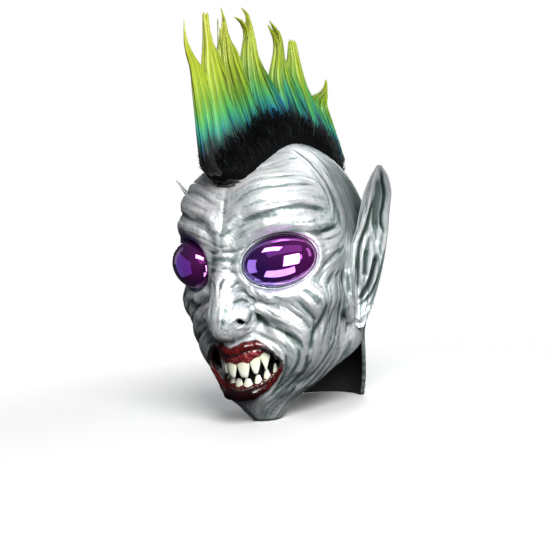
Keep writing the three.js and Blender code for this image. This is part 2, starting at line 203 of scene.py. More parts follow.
def smin(a, b, k):
    if k <= 0:
        return np.minimum(a, b)
    h = np.clip(0.5 + 0.5 * (b - a) / k, 0, 1)
    return b + (a - b) * h - k * h * (1 - h)


def smax(a, b, k):
    return -smin(-a, -b, k)


def prim(p, x, y, z):
    if p[0] == "e":
        dx, dy, dz = x - p[1], y - p[2], z - p[3]
        k0 = np.sqrt((dx / p[4]) ** 2 + (dy / p[5]) ** 2 + (dz / p[6]) ** 2)
        k1 = np.sqrt((dx / p[4] ** 2) ** 2 + (dy / p[5] ** 2) ** 2 + (dz / p[6] ** 2) ** 2) + 1e-6
        return k0 * (k0 - 1) / k1
    if p[0] == "o":
        a, c = math.radians(p[7]), math.radians(p[8])
        dx, dy, dz = x - p[1], y - p[2], z - p[3]
        h = dx * math.cos(a) + dy * math.sin(a)
        w = dx * math.sin(a) - dy * math.cos(a)
        u = h * math.cos(c) + dz * math.sin(c)
        v = -h * math.sin(c) + dz * math.cos(c)
        k0 = np.sqrt((u / p[4]) ** 2 + (v / p[5]) ** 2 + (w / p[6]) ** 2)
        k1 = np.sqrt((u / p[4] ** 2) ** 2 + (v / p[5] ** 2) ** 2 + (w / p[6] ** 2) ** 2) + 1e-6
        return k0 * (k0 - 1) / k1
    return capsule(p[1:4], p[4:7], p[7], p[8], x, y, z)


def capsule(a, b, ra, rb, x, y, z):
    ab = [b[i] - a[i] for i in range(3)]
    dx, dy, dz = x - a[0], y - a[1], z - a[2]
    t = np.clip((dx * ab[0] + dy * ab[1] + dz * ab[2]) / (ab[0] ** 2 + ab[1] ** 2 + ab[2] ** 2), 0, 1)
    return np.sqrt((dx - t * ab[0]) ** 2 + (dy - t * ab[1]) ** 2 + (dz - t * ab[2]) ** 2) - (ra + (rb - ra) * t)


def base(x, y, z):
    x = np.abs(x).astype(np.float32)
    y = np.asarray(y, np.float32)
    z = np.asarray(z, np.float32)
    # the chin narrows and draws back below the lower lip
    w = np.clip((31 - z) / 27, 0, 1) * np.clip((-28 - y) / 30, 0, 1)
    w = w * w * (3 - 2 * w)
    x, y = x * (1 + 0.50 * w), y - 13.0 * w
    f = prim(HEAD[0], x, y, z)
    for p in HEAD[1:]:
        f = smin(f, prim(p, x, y, z), p[-1])
    return f.astype(np.float32)


def chain(pts, x, y, z):
    d = None
    for a, b in zip(pts[:-1], pts[1:]):
        c = capsule(a[:3], b[:3], a[3], b[3], x, y, z)
        d = c if d is None else smin(d, c, 1.5)
    return d


def eye_axes(side=1):
    q, c = math.radians(EYE["turn"]), math.radians(EYE["tilt"])
    n = np.array([math.sin(q) * side, -math.cos(q), 0.0])
    h = np.array([math.cos(q), math.sin(q) * side, 0.0])
    u = h * math.cos(c) + np.array([0, 0, side * math.sin(c)])
    return u, np.cross(n, u), n, np.array([EYE["x"] * side, EYE["y"], EYE["z"]])


def eye_uvw(x, y, z):
    u, v, n, o = eye_axes(1)
    dx, dy, dz = x - o[0], y - o[1], z - o[2]
    return [dx * k[0] + dy * k[1] + dz * k[2] for k in (u, v, n)]


def ellipse(u, v, a, b):
    k0 = np.sqrt((u / a) ** 2 + (v / b) ** 2)
    k1 = np.sqrt((u / a**2) ** 2 + (v / b**2) ** 2) + 1e-6
    return k0 * (k0 - 1) / k1


def polygon(px, pz, poly):
    """Signed distance to a closed polygon, negative inside."""
    d = np.full(px.shape, 1e9, np.float32)
    inside = np.zeros(px.shape, bool)
    n = len(poly)
    for i in range(n):
        ax, az = poly[i]
        bx, bz = poly[(i + 1) % n]
        ex, ez = bx - ax, bz - az
        t = np.clip(((px - ax) * ex + (pz - az) * ez) / (ex * ex + ez * ez), 0, 1)
        d = np.minimum(d, (px - ax - t * ex) ** 2 + (pz - az - t * ez) ** 2)
        cross = (az > pz) != (bz > pz)
        inside ^= cross & (px < (bx - ax) * (pz - az) / (bz - az + 1e-9) + ax)
    return np.sqrt(d) * np.where(inside, -1, 1)


MOUTH_POLY = MOUTH + [(-x, z) for x, z in MOUTH[::-1] if x]
RIM_POLY = [(-200, 0)] + [tuple(p) for p in RIM] + [(200, 0), (200, -200), (-200, -200)]
SWELL = 0.7
NOSTRIL = ((18.6, -127.5, 100.0), (17.0, -115.0, 105.0), 2.9, 3.6)


def add_chain(f, k, pts, ax, y, z):
    """Joins a chain to the field, only near the chain."""
    q = np.array(pts, float)
    pad = q[:, 3].max() + k + 2
    lo, hi = q[:, :3].min(0) - pad, q[:, :3].max(0) + pad
    m = (ax > lo[0]) & (ax < hi[0]) & (y > lo[1]) & (y < hi[1]) & (z > lo[2]) & (z < hi[2])
    if m.any():
        f[m] = smin(f[m], chain(pts, ax[m], y[m], z[m]), k)
    return f


def outer(x, y, z):
    ax = np.abs(x)
    f = base(ax, y, z) - SWELL
    for k, pts in FOLDS:
        f = add_chain(f, k, pts, ax, y, z)
    # the seat of the lens with a soft lip round the bezel
    u, v, w = eye_uvw(ax, y, z)
    A, B = EYE["a"] + EYE["flange"], EYE["b"] + EYE["flange"]
    m = (w > -32) & (np.abs(u) < A + 16) & (np.abs(v) < B + 16)
    if m.any():
        um, vm, wm, fm = u[m], v[m], w[m], f[m]
        lip = np.sqrt(ellipse(um, vm, EYE["a"] + 3.9, EYE["b"] + 3.9) ** 2 + ((wm - 0.1) * 0.9) ** 2) - 1.8
        fm = smin(fm, lip, 6.5)
        fm = smax(fm, -np.maximum(ellipse(um, vm, EYE["a"] + 2.2, EYE["b"] + 2.2), -2.0 - wm), 0.9)
        hole = ellipse(um, vm, EYE["a"] - 1.8, EYE["b"] - 1.8)
        f[m] = smax(fm, -np.maximum(hole, -30 - wm), 1.0)
    # nostril
    m = (ax < 26) & (y < -104) & (z > 88) & (z < 118)
    if m.any():
        f[m] = smax(f[m], -capsule(*NOSTRIL, ax[m], y[m], z[m]), 2.5)
    # open mouth
    m = (z > 20) & (z < 90) & (y < -50)
    if m.any():
        f[m] = smax(f[m], -np.maximum(polygon(ax[m], z[m], MOUTH_POLY), y[m] + 62), 3.0)
    for k, pts in LIPS:
        f = add_chain(f, k, pts, ax, y, z)
    # lower edge
    m = z < 70
    if m.any():
        f[m] = smax(f[m], -polygon(y[m], z[m], RIM_POLY), 2.0)
    return f


def inner(x, y, z):
    f = base(x, y, z) + WALL
    sole = np.maximum(np.maximum(np.abs(x) - 60, np.abs(y + 92) - 30), z - 4)
    f = np.maximum(f, -sole)
    return np.maximum(f, -16 - z)


def spaced(lo, hi, h, rule=None):
    """Grid lines from lo to past hi; the rule stretches the step h where less detail is needed."""
    out = [lo]
    while out[-1] < hi + h:
        out.append(out[-1] + h * (rule(out[-1]) if rule else 1.0))
    return np.array(out, np.float32)


def grid_field(fn, lo, hi, h, rules=(None, None, None)):
    """The field on a grid symmetric in X, evaluated on one half."""
    xs = spaced(0.0, hi[0], h, rules[0])
    ys = spaced(float(lo[1]), hi[1], h, rules[1])
    zs = spaced(float(lo[2]), hi[2], h, rules[2])
    out = np.empty((len(xs), len(ys), len(zs)), np.float32)
    # far from the surface the rough field is enough, so the full one runs only in a band
    for i, x in enumerate(xs):
        Y, Z = np.meshgrid(ys, zs, indexing="ij")
        X = np.full_like(Y, x)
        rough = base(X, Y, Z)
        band = (rough < 14) & (rough > -36) if fn is outer else (rough < 8) & (rough > -14)
        row = np.where(rough > 0, 20.0, -20.0).astype(np.float32)
        if fn is outer:
            row = np.where((rough < 0) & (Z < -1), 20.0, row)
        else:
            row = np.where(Z < -17, 20.0, row)
            band |= (Z < 12) & (rough < 8)
        if band.any():
            row[band] = fn(X[band], Y[band], Z[band])
        out[i] = row
    full = np.concatenate([out[:0:-1], out], 0)
    return full, (np.concatenate([-xs[:0:-1], xs]).astype(float), ys.astype(float), zs.astype(float))


def surface_nets(F, axes):
    s = F < 0
    n = np.zeros(tuple(k - 1 for k in F.shape), np.uint8)
    for dx in (0, 1):
        for dy in (0, 1):
            for dz in (0, 1):
                n += s[dx : dx + n.shape[0], dy : dy + n.shape[1], dz : dz + n.shape[2]]
    cell = np.argwhere((n > 0) & (n < 8))
    idx = np.full(n.shape, -1, np.int32)
    idx[cell[:, 0], cell[:, 1], cell[:, 2]] = np.arange(len(cell), dtype=np.int32)
    acc = np.zeros((len(cell), 3))
    cnt = np.zeros(len(cell))
    corners = [(a, b, c) for a in (0, 1) for b in (0, 1) for c in (0, 1)]
    for c0 in corners:
        for axis in range(3):
            if c0[axis]:
                continue
            c1 = list(c0)
            c1[axis] = 1
            a = F[cell[:, 0] + c0[0], cell[:, 1] + c0[1], cell[:, 2] + c0[2]]
            b = F[cell[:, 0] + c1[0], cell[:, 1] + c1[1], cell[:, 2] + c1[2]]
            hit = (a < 0) != (b < 0)
            t = np.where(hit, a / np.where(hit, a - b, 1), 0)
            p = np.tile(np.array(c0, float), (len(cell), 1))
            p[:, axis] = t
            acc += p * hit[:, None]
            cnt += hit
    v = cell + acc / cnt[:, None]
    v = np.stack([np.interp(v[:, k], np.arange(len(axes[k])), axes[k]) for k in range(3)], -1)
    quads = []
    for axis in range(3):
        o = [(0, 1, 2), (1, 2, 0), (2, 0, 1)][axis]
        sl0 = [slice(None)] * 3
        sl1 = [slice(None)] * 3
        sl0[axis] = slice(0, -1)
        sl1[axis] = slice(1, None)
        a, b = s[tuple(sl0)], s[tuple(sl1)]
        e = np.argwhere(a != b)
        q, r = o[1], o[2]
        ok = (e[:, q] > 0) & (e[:, r] > 0) & (e[:, q] < F.shape[q] - 1) & (e[:, r] < F.shape[r] - 1)
        e = e[ok]
        neg = a[e[:, 0], e[:, 1], e[:, 2]]
        def at(dq, dr):
            c = e.copy()
            c[:, q] += dq
            c[:, r] += dr
            return idx[c[:, 0], c[:, 1], c[:, 2]]
        f = np.stack([at(-1, -1), at(0, -1), at(0, 0), at(-1, 0)], -1)
        f = np.where(neg[:, None], f, f[:, ::-1])
        quads.append(f)
    return v, np.concatenate(quads), idx


def gradient(fn, p, h=0.4):
    g = np.empty_like(p)
    x, y, z = p[:, 0], p[:, 1], p[:, 2]
    g[:, 0] = fn(x + h, y, z) - fn(x - h, y, z)
    g[:, 1] = fn(x, y + h, z) - fn(x, y - h, z)
    g[:, 2] = fn(x, y, z + h) - fn(x, y, z - h)
    return g / (2 * h)


def hash3(ix, iy, iz, seed):
    n = ix.astype(np.int64) * 374761393 + iy.astype(np.int64) * 668265263 + iz.astype(np.int64) * 2147483647 + seed * 69069
    n = (n ^ (n >> 13)) * 1274126177
    n = n ^ (n >> 16)
    return (n & 0xFFFF).astype(np.float32) / 65535.0 * 2 - 1


def noise3(p, scale, seed=0):
    q = p / scale
    i = np.floor(q).astype(np.int64)
    f = q - i
    f = f * f * (3 - 2 * f)
    out = 0
    for a in (0, 1):
        for b in (0, 1):
            for c in (0, 1):
                w = (f[:, 0] if a else 1 - f[:, 0]) * (f[:, 1] if b else 1 - f[:, 1]) * (f[:, 2] if c else 1 - f[:, 2])
                out = out + w * hash3(i[:, 0] + a, i[:, 1] + b, i[:, 2] + c, seed)
    return out


# ------------------------------------------------------------------ wrinkles
# width, depth, paint in the crease, then the line over the skin; every line is mirrored to the other side
CREASES = [
    (2.6, 1.5, 0.55, ((3, -106, 206), (11, -106, 209), (17, -106, 212), (23, -105, 216), (29, -102, 219), (35, -100, 220), (41, -97, 221), (47, -94, 221), (52, -90, 221), (56, -85, 221), (60, -79, 221), (64, -72, 220), (66, -64, 219), (68, -55, 217))),
    (3.2, 2.9, 1.00, ((17, -110, 191), (24, -110, 193), (32, -109, 195), (39, -107, 196), (45, -105, 198), (50, -101, 200), (56, -97, 201), (61, -92, 201), (65, -86, 201), (68, -80, 201), (71, -72, 199), (74, -63, 197), (75, -52, 195))),
    (2.2, 1.6, 0.70, ((6, -110, 186), (11, -110, 189), (17, -110, 191))),
    (1.7, 1.2, 0.55, ((9, -111, 179), (16, -110, 182), (23, -110, 185), (30, -109, 188), (36, -107, 190), (43, -105, 192), (49, -103, 194), (54, -99, 195), (59, -95, 196), (63, -89, 196), (67, -83, 197))),
    (1.7, 1.2, 0.55, ((13, -113, 171), (17, -110, 175), (23, -109, 179), (30, -108, 182), (36, -107, 185), (42, -105, 187), (48, -102, 189), (54, -99, 190), (59, -95, 191), (63, -90, 191), (68, -84, 191), (71, -77, 190), (74, -70, 189))),
    (1.7, 1.2, 0.55, ((39, -105, 181), (45, -103, 183), (50, -100, 185), (56, -97, 186), (61, -93, 187), (65, -88, 187), (69, -82, 187), (73, -75, 186), (76, -68, 185))),
    (1.7, 1.2, 0.55, ((57, -95, 183), (63, -91, 184), (68, -85, 185), (72, -78, 183), (76, -70, 181), (79, -62, 177))),
    (2.5, 2.0, 0.80, ((17, -112, 164), (22, -110, 168), (28, -108, 172), (34, -106, 175), (40, -104, 178), (46, -101, 179), (52, -98, 180), (57, -95, 180), (63, -91, 180), (68, -86, 179), (72, -80, 177), (75, -74, 176), (78, -65, 176), (80, -56, 178), (79, -42, 179))),
    (2.6, 2.4, 1.00, ((70, -83, 178), (73, -78, 175), (76, -72, 174), (79, -64, 176), (80, -55, 177), (79, -42, 179))),
    (2.2, 1.5, 0.70, ((74, -73, 141), (77, -68, 146), (80, -62, 150), (83, -55, 155), (84, -45, 158))),
    (2.0, 1.6, 0.75, ((35, -34, 252), (41, -35, 247), (47, -35, 243), (52, -34, 238), (57, -36, 232), (61, -36, 227), (65, -34, 221), (68, -33, 215), (70, -33, 209), (72, -32, 203), (73, -33, 196), (75, -36, 190), (77, -39, 184))),
    (1.8, 1.1, 0.50, ((0, -102, 216), (0, -105, 209), (0, -107, 202), (0, -108, 195), (0, -109, 188), (0, -112, 181), (1, -116, 174), (1, -118, 167))),
    (1.8, 0.8, 0.35, ((2, -103, 213), (10, -103, 217), (17, -101, 221), (24, -98, 225), (30, -95, 228))),
    (1.8, 0.8, 0.35, ((22, -99, 224), (28, -97, 226), (34, -93, 229), (40, -89, 229), (46, -85, 229), (52, -80, 229), (56, -74, 228), (60, -67, 227))),
    (1.8, 0.8, 0.35, ((33, -81, 238), (37, -73, 240), (40, -64, 242), (43, -54, 243), (44, -42, 244))),
    (1.8, 0.8, 0.35, ((7, -108, 200), (15, -109, 203), (22, -108, 205), (29, -107, 207), (35, -106, 209), (41, -103, 211))),
    (1.9, 1.5, 0.70, ((0, -118, 166), (7, -117, 165), (13, -113, 164))),
    (1.9, 1.5, 0.70, ((0, -114, 158), (0, -120, 158), (8, -118, 157), (14, -115, 154))),
    (1.9, 1.5, 0.70, ((0, -116, 149), (2, -123, 150), (9, -120, 149), (15, -115, 145))),
    (1.6, 0.9, 0.50, ((3, -129, 131), (3, -127, 138), (6, -123, 143), (11, -119, 147))),
    (1.6, 0.9, 0.50, ((11, -123, 131), (12, -119, 135), (15, -115, 138), (20, -111, 138))),
    (1.7, 1.2, 0.60, ((12, -127, 118), (14, -122, 120), (14, -114, 121), (15, -108, 119), (17, -105, 115))),
    (1.9, 1.5, 0.90, ((17, -104, 115), (22, -110, 109), (23, -118, 103), (20, -124, 100))),
    (1.4, 0.7, 0.30, ((10, -131, 115), (12, -133, 109), (12, -133, 103))),
    (3.2, 3.0, 1.00, ((18, -104, 114), (21, -105, 108), (23, -101, 102), (27, -98, 97), (34, -99, 94), (41, -99, 91), (47, -98, 87), (52, -95, 84), (56, -91, 80), (58, -87, 74), (58, -84, 67))),
    (2.0, 1.3, 0.60, ((52, -95, 123), (57, -94, 119), (62, -92, 115), (66, -90, 110), (68, -86, 105), (69, -80, 99), (69, -73, 93))),
    (2.0, 1.3, 0.60, ((64, -90, 126), (70, -87, 122), (74, -84, 116), (77, -78, 109))),
    (3.4, 2.2, 0.90, ((81, -71, 113), (78, -71, 107), (74, -70, 101), (71, -70, 95), (68, -74, 90), (66, -77, 85), (64, -79, 79), (63, -79, 73), (61, -78, 66))),
    (1.6, 0.9, 0.45, ((52, -94, 97), (57, -91, 95), (62, -85, 92), (66, -78, 88))),
    (1.6, 0.9, 0.45, ((41, -97, 117), (47, -96, 112), (53, -94, 108), (58, -92, 102), (62, -87, 97), (64, -82, 91))),
    (1.6, 0.9, 0.45, ((28, -101, 114), (32, -98, 109), (38, -97, 105), (45, -97, 101), (50, -95, 97), (55, -92, 93), (59, -89, 88))),
    (1.9, 1.4, 0.70, ((55, -91, 76), (55, -88, 68), (52, -87, 61), (48, -85, 54), (42, -83, 47), (36, -84, 41), (32, -87, 36), (28, -92, 32), (24, -96, 27))),
    (1.9, 1.4, 0.70, ((46, -97, 69), (45, -94, 62), (42, -92, 54), (38, -91, 47), (33, -90, 40), (28, -92, 34))),
    (1.9, 1.4, 0.70, ((59, -83, 67), (57, -78, 59), (53, -75, 52), (46, -74, 46), (41, -75, 41), (36, -78, 36), (33, -83, 32), (29, -89, 29), (25, -94, 26))),
    (1.7, 1.1, 0.55, ((58, -73, 58), (53, -76, 53), (47, -78, 48), (41, -80, 44), (36, -82, 40), (32, -86, 35), (28, -91, 31), (24, -95, 26))),
    (1.7, 1.1, 0.55, ((68, -45, 73), (66, -47, 67), (63, -50, 61), (60, -53, 56), (57, -56, 51), (52, -59, 46), (48, -62, 42), (43, -65, 38), (39, -71, 36), (36, -78, 36))),
    (1.7, 1.1, 0.55, ((67, -34, 70), (66, -35, 63), (63, -37, 56), (60, -38, 50), (56, -40, 44), (52, -43, 39), (48, -47, 34), (43, -51, 30), (40, -58, 28), (38, -65, 25))),
    (1.7, 1.1, 0.55, ((72, -20, 69), (70, -23, 63), (68, -26, 57), (64, -28, 52), (60, -29, 46))),
    (1.8, 1.0, 0.50, ((81, -59, 122), (82, -64, 117), (81, -66, 110), (77, -65, 103), (73, -62, 96), (71, -61, 90), (69, -63, 83), (68, -64, 77), (66, -65, 70))),
    (1.8, 1.0, 0.50, ((75, -36, 121), (78, -45, 115), (77, -45, 108), (73, -41, 101), (71, -41, 94), (70, -42, 87), (69, -45, 80), (68, -47, 74))),
    (1.8, 1.0, 0.50, ((71, -19, 106), (70, -19, 98), (69, -20, 90), (69, -24, 82), (69, -27, 74))),
    (1.8, 1.0, 0.50, ((79, -67, 127), (79, -56, 133), (78, -40, 137))),
    (1.6, 1.0, 0.50, ((24, -95, 25), (23, -96, 19), (21, -96, 13), (17, -95, 6))),
    (1.6, 1.0, 0.50, ((28, -91, 21), (26, -91, 13), (23, -89, 5))),
    (1.6, 1.0, 0.50, ((38, -72, 34), (36, -75, 29), (34, -76, 23), (32, -78, 17), (30, -82, 12))),
    (1.7, 1.1, 0.55, ((0, -112, 81), (0, -116, 79), (4, -113, 82), (9, -110, 84), (14, -107, 86), (21, -105, 84), (27, -103, 82), (33, -102, 79), (39, -100, 76))),
    (1.7, 1.1, 0.55, ((3, -131, 86), (0, -114, 81), (4, -111, 84), (10, -107, 87), (16, -104, 88), (23, -102, 86), (31, -101, 84), (38, -101, 81), (44, -99, 77))),
]
# lines that aren't on the face's side: scalp, temple, neck and the back
CREASES += [
    (3.0, 1.4, 0.45, ((0, 72, 120), (30, 69, 118), (56, 50, 116), (70, 20, 116))),
    (3.0, 1.5, 0.45, ((0, 71, 96), (30, 66, 94), (54, 48, 92), (66, 18, 90))),
    (2.8, 1.3, 0.40, ((0, 68, 72), (28, 64, 72), (50, 46, 74), (62, 24, 78))),
    (2.6, 1.0, 0.35, ((0, 66, 48), (22, 62, 46), (38, 52, 44))),
    (3.0, 1.2, 0.40, ((12, 66, 30), (30, 60, 26), (40, 52, 20))),
    (2.6, 1.2, 0.40, ((78, 4, 176), (76, 14, 156), (76, 20, 132), (74, 22, 108), (70, 18, 86))),
    (2.4, 1.0, 0.35, ((74, 22, 190), (72, 36, 168), (72, 38, 140), (70, 34, 110))),
    (2.4, 1.2, 0.50, ((72, -30, 196), (75, -30, 180), (72, -40, 166), (70, -50, 152))),
    (3.0, 1.6, 0.60, ((76, -36, 138), (76, -34, 120), (74, -34, 100), (70, -30, 84))),
]


def resample(line, step=2.0):
    p = np.array(line, float)
    seg = np.linalg.norm(np.diff(p, axis=0), axis=1)
    c = np.r_[0, np.cumsum(seg)]
    n = max(3, int(c[-1] / step) + 1)
    s = np.linspace(0, c[-1], n)
    q = np.stack([np.interp(s, c, p[:, i]) for i in range(3)], -1)
    for _ in range(3):
        q[1:-1] = (q[:-2] + 2 * q[1:-1] + q[2:]) / 4
    return q


def line_distance(p, q):
    """Least distance from points p to polyline q, and how far along it (0..1) that is."""
    best = np.full(len(p), 1e9)
    along = np.zeros(len(p))
    n = len(q) - 1
    for i in range(n):
        ab = q[i + 1] - q[i]
        d = p - q[i]
        t = np.clip(d @ ab / (ab @ ab), 0, 1)
        r = ((d - t[:, None] * ab) ** 2).sum(1)
        m = r < best
        best[m] = r[m]
        along[m] = (i + t[m]) / n
    return np.sqrt(best), along


def mirrored(lines):
    out = []
    for w, d, k, line in lines:
        q = resample(line)
        out.append((w, d, k, q))
        if np.abs(q[:, 0]).max() > 1.5:
            out.append((w, d, k, q * np.array([-1, 1, 1])))
    return out


def sculpt_creases(v, lines):
    push = np.zeros(len(v))
    paint = np.zeros(len(v))
    for w, d, k, q in lines:
        lo, hi = q.min(0) - 5.2 * w, q.max(0) + 5.2 * w
        m = np.flatnonzero(((v > lo) & (v < hi)).all(1))
        if not len(m):
            continue
        s, t = line_distance(v[m], q)
        taper = np.clip(np.minimum(t, 1 - t) * 5 + 0.12, 0, 1)
        taper = taper * taper * (3 - 2 * taper)
        a = s / w
        # a sharp crease in a wide shallow valley, with a low swell beside it
        push[m] += taper * d * (-0.52 * np.exp(-((a / 0.62) ** 2)) - 0.30 * np.exp(-((a / 1.7) ** 2)) + 0.26 * np.exp(-(((a - 2.6) / 1.3) ** 2)))
        paint[m] = np.maximum(paint[m], taper * k * (0.80 * np.exp(-((s / (0.62 * w)) ** 2)) + 0.30 * np.exp(-((s / (1.9 * w)) ** 2))))
    return push, paint


def flow(v, n, lines, reach=13.0):
    """A direction in the skin at each point, along the nearest creases; unsigned."""
    pts = np.concatenate([q[1:-1] for _, _, _, q in lines])
    tan = np.concatenate([q[2:] - q[:-2] for _, _, _, q in lines])
    tan /= np.linalg.norm(tan, axis=1)[:, None] + 1e-9
    wt = np.concatenate([np.full(len(q) - 2, d) for _, d, _, q in lines])
    ten = (tan[:, :, None] * tan[:, None, :]).reshape(-1, 9) * wt[:, None]
    pts, ten = pts[::5], ten[::5].astype(np.float32)
    T = np.zeros((len(v), 9), np.float32)
    vf, pf = v.astype(np.float32), pts.astype(np.float32)
    pp = (pf**2).sum(1)[None]
    for a in range(0, len(v), 8000):
        c = vf[a : a + 8000]
        d2 = (c**2).sum(1)[:, None] + pp - 2 * (c @ pf.T)
        T[a : a + 8000] = np.exp(d2 * (-0.5 / reach**2)) @ ten
    T = T.reshape(-1, 3, 3)
    # at the back, where there are few creases, the flow runs round the head
    rnd = np.stack([-(v[:, 1] + 15), v[:, 0], 0.35 * v[:, 0]], -1)
    rnd /= np.linalg.norm(rnd, axis=1)[:, None] + 1e-9
    T += 0.03 * rnd[:, :, None] * rnd[:, None, :]
    P = np.eye(3) - n[:, :, None] * n[:, None, :]
    T = P @ T @ P
    return np.linalg.eigh(T)[1][:, :, 2]


def streaks(v, n, t, idx, axes, wave, steps, hop, seed):
    """Noise smeared along the flow, so that it comes out as long fine ridges."""
    src = noise3(v, wave, seed) + 0.6 * noise3(v, wave * 0.55, seed + 1)
    near = idx.copy()
    for _ in range(2):
        for axis in range(3):
            for sh in (1, -1):
                r = np.roll(near, sh, axis)
                near = np.where(near < 0, r, near)
    acc = src.copy()
    cnt = np.ones(len(v))
    for sign in (1.0, -1.0):
        cur = np.arange(len(v))
        p = v.copy()
        d = t * sign
        live = np.ones(len(v), bool)
        for k in range(steps):
            p = p + d * hop
            c = np.stack([np.clip(np.searchsorted(axes[a], p[:, a]) - 1, 0, idx.shape[a] - 1) for a in range(3)], -1)
            nxt = near[c[:, 0], c[:, 1], c[:, 2]]
            live &= nxt >= 0
            nxt = np.where(nxt < 0, cur, nxt)
            off = ((p - v[nxt]) * n[nxt]).sum(1)
            p = p - n[nxt] * off[:, None]
            d2 = t[nxt]
            d2 = d2 * np.sign((d2 * d).sum(1) + 1e-9)[:, None]
            d = d2
            cur = nxt
            wgt = live * (1 - k / (steps + 1.0))
            acc += src[cur] * wgt
            cnt += wgt
    out = acc / cnt
    return (out - out.mean()) / out.std()


def smooth_scalar(val, faces, times):
    n = len(val)
    a = np.concatenate([faces[:, 0], faces[:, 1], faces[:, 2], faces[:, 3]])
    b = np.concatenate([faces[:, 1], faces[:, 2], faces[:, 3], faces[:, 0]])
    cnt = np.bincount(a, minlength=n) + np.bincount(b, minlength=n)
    for _ in range(times):
        s = np.bincount(a, val[b], n) + np.bincount(b, val[a], n)
        val = 0.4 * val + 0.6 * s / np.maximum(cnt, 1)
    return val


def sstep(a, b, x):
    t = np.clip((x - a) / (b - a), 0, 1)
    return t * t * (3 - 2 * t)


def build_skin():
    h = 1.47
    lo, hi = np.array([0, -143, -3]), np.array([92, 86, 270])
    rules = (None, lambda y: float(np.interp(y, [-35, 0, 30], [1.0, 1.5, 2.0])), lambda z: float(np.interp(z, [222, 245], [1.0, 1.6])))
    F, axes = grid_field(outer, lo, hi, h, rules)
    v, q, idx = surface_nets(F, axes)
    for _ in range(2):
        f = outer(v[:, 0], v[:, 1], v[:, 2])
        g = gradient(outer, v)
        g2 = (g**2).sum(1)
        step = np.clip(f / np.maximum(g2, 0.2), -1.0, 1.0)
        v = v - g * (step * 0.9)[:, None]
    g = gradient(outer, v)
    n = g / (np.linalg.norm(g, axis=1)[:, None] + 1e-9)
    lines = mirrored(CREASES)
    push, paint = sculpt_creases(v, lines)
    t = flow(v, n, lines)
    fine = streaks(v, n, t, idx, axes, 2.1, 10, 1.3, 3)
    broad = streaks(v, n, t, idx, axes, 4.8, 12, 1.9, 11)
    # where the skin is worked hardest: brow, cheeks and muzzle; the scalp and the back are calmer
    ax = np.abs(v[:, 0])
    face = sstep(0, -50, v[:, 1]) * (1 - 0.75 * sstep(205, 235, v[:, 2]))
    work = 0.28 + 0.72 * face
    lipd = np.full(len(v), 1e3)
    for k, pts in LIPS:
        lipd = np.minimum(lipd, chain(pts, ax, v[:, 1], v[:, 2]))
    lip = 1 - sstep(0.4, 1.4, lipd)
    u_, v_, w_ = eye_uvw(ax, v[:, 1], v[:, 2])
    eye = ellipse(u_, v_, EYE["a"] + 7, EYE["b"] + 7)
    rimmed = sstep(-2.5, 2.5, eye) + (w_ < -14)
    rimmed = np.clip(rimmed, 0, 1)
    calm = rimmed * (1 - lip)
    low = sstep(0.5, 6, v[:, 2] - np.interp(v[:, 1], RIM[:, 0], RIM[:, 1]))
    low = np.where(v[:, 1] > 52, sstep(0.3, 5, v[:, 2]), low)
    inside_mouth = (polygon(ax, v[:, 2], MOUTH_POLY) < 3) & (v[:, 1] < -50) & (lipd > 0.5) & (v[:, 2] > 25) & (v[:, 2] < 85)
    calm = calm * np.where(inside_mouth, 0.0, 1.0)
    push = np.clip(push, -3.4, 2.6) * calm * low
    push += (0.17 * fine + 0.24 * broad) * work * calm * low
    # fine furrows in the lips, running from inside to outside
    lx = np.arctan2(v[:, 2] - 54, v[:, 0]) * 34 + 0.6 * noise3(v, 5.0, 5)
    push += lip * (0.24 * np.sin(lx * 2.3) + 0.14 * np.sin(lx * 4.1 + 1.0))
    v2 = v + n * push[:, None]
    hollow = smooth_scalar(push, q, 10) - push  # positive in a groove
    hollow = hollow / (hollow.std() + 1e-9)
    # painted shade: darker paint on the back and sides of the scalp, the hollow of the temple, under the jaw, beside
    # the nose and on the tip of the nose, where the light falls off
    y_, z_ = v[:, 1], v[:, 2]
    painted_shading = 0.50 * sstep(-42, 12, y_) * sstep(130, 185, z_) + 0.20 * sstep(-10, 40, y_)
    painted_shading += 0.22 * sstep(75, 30, z_) * sstep(-104, -84, y_)
    painted_shading += 0.16 * sstep(56, 76, ax) * sstep(-70, -35, y_)
    painted_shading += 0.20 * np.exp(-(((ax - 19) / 7) ** 2) - ((z_ - 150) / 16) ** 2) * (y_ < -90)
    painted_shading *= 1 - 0.7 * sstep(30, 16, z_) * (y_ < -60)
    # painted light: the dark paint is thinned on the front of the forehead and between the nose and the upper lip, so
    # that they come out lighter
    painted_light = 1 - 0.40 * sstep(176, 200, z_) * sstep(-62, -84, y_)
    painted_light *= 1 - 0.55 * np.exp(-(((z_ - 85) / 10) ** 2)) * (y_ < -98)
    painted_shading += 0.05 * sstep(-112, -122, y_) * sstep(88, 100, z_)
    paint_and_shading = 0.80 * paint + 0.18 * sstep(0.2, 2.6, hollow) + 0.10 * sstep(0.1, 1.9, -broad) * work + 0.14 * sstep(0.2, 1.8, -fine) * work
    paint_and_shading = paint_and_shading * painted_light + painted_shading * (1 - lip)
    # painted shade: the lower part of the lower lip is darkened nearly to black at the front
    paint_and_shading += 0.75 * lip * sstep(52, 34, z_) * sstep(34, 14, ax)  # the lower lip is nearly black at the front
    tint = 0.6 * noise3(v, 26, 21) + 0.4 * noise3(v, 9, 22) + 0.25 * broad
    return dict(v=v2, q=q, n=n, paint_and_shading=np.clip(paint_and_shading, 0, 1), lip=lip, fine=fine, broad=broad, tint=tint, mouth=inside_mouth, lipd=lipd)


SKIN = build_skin()


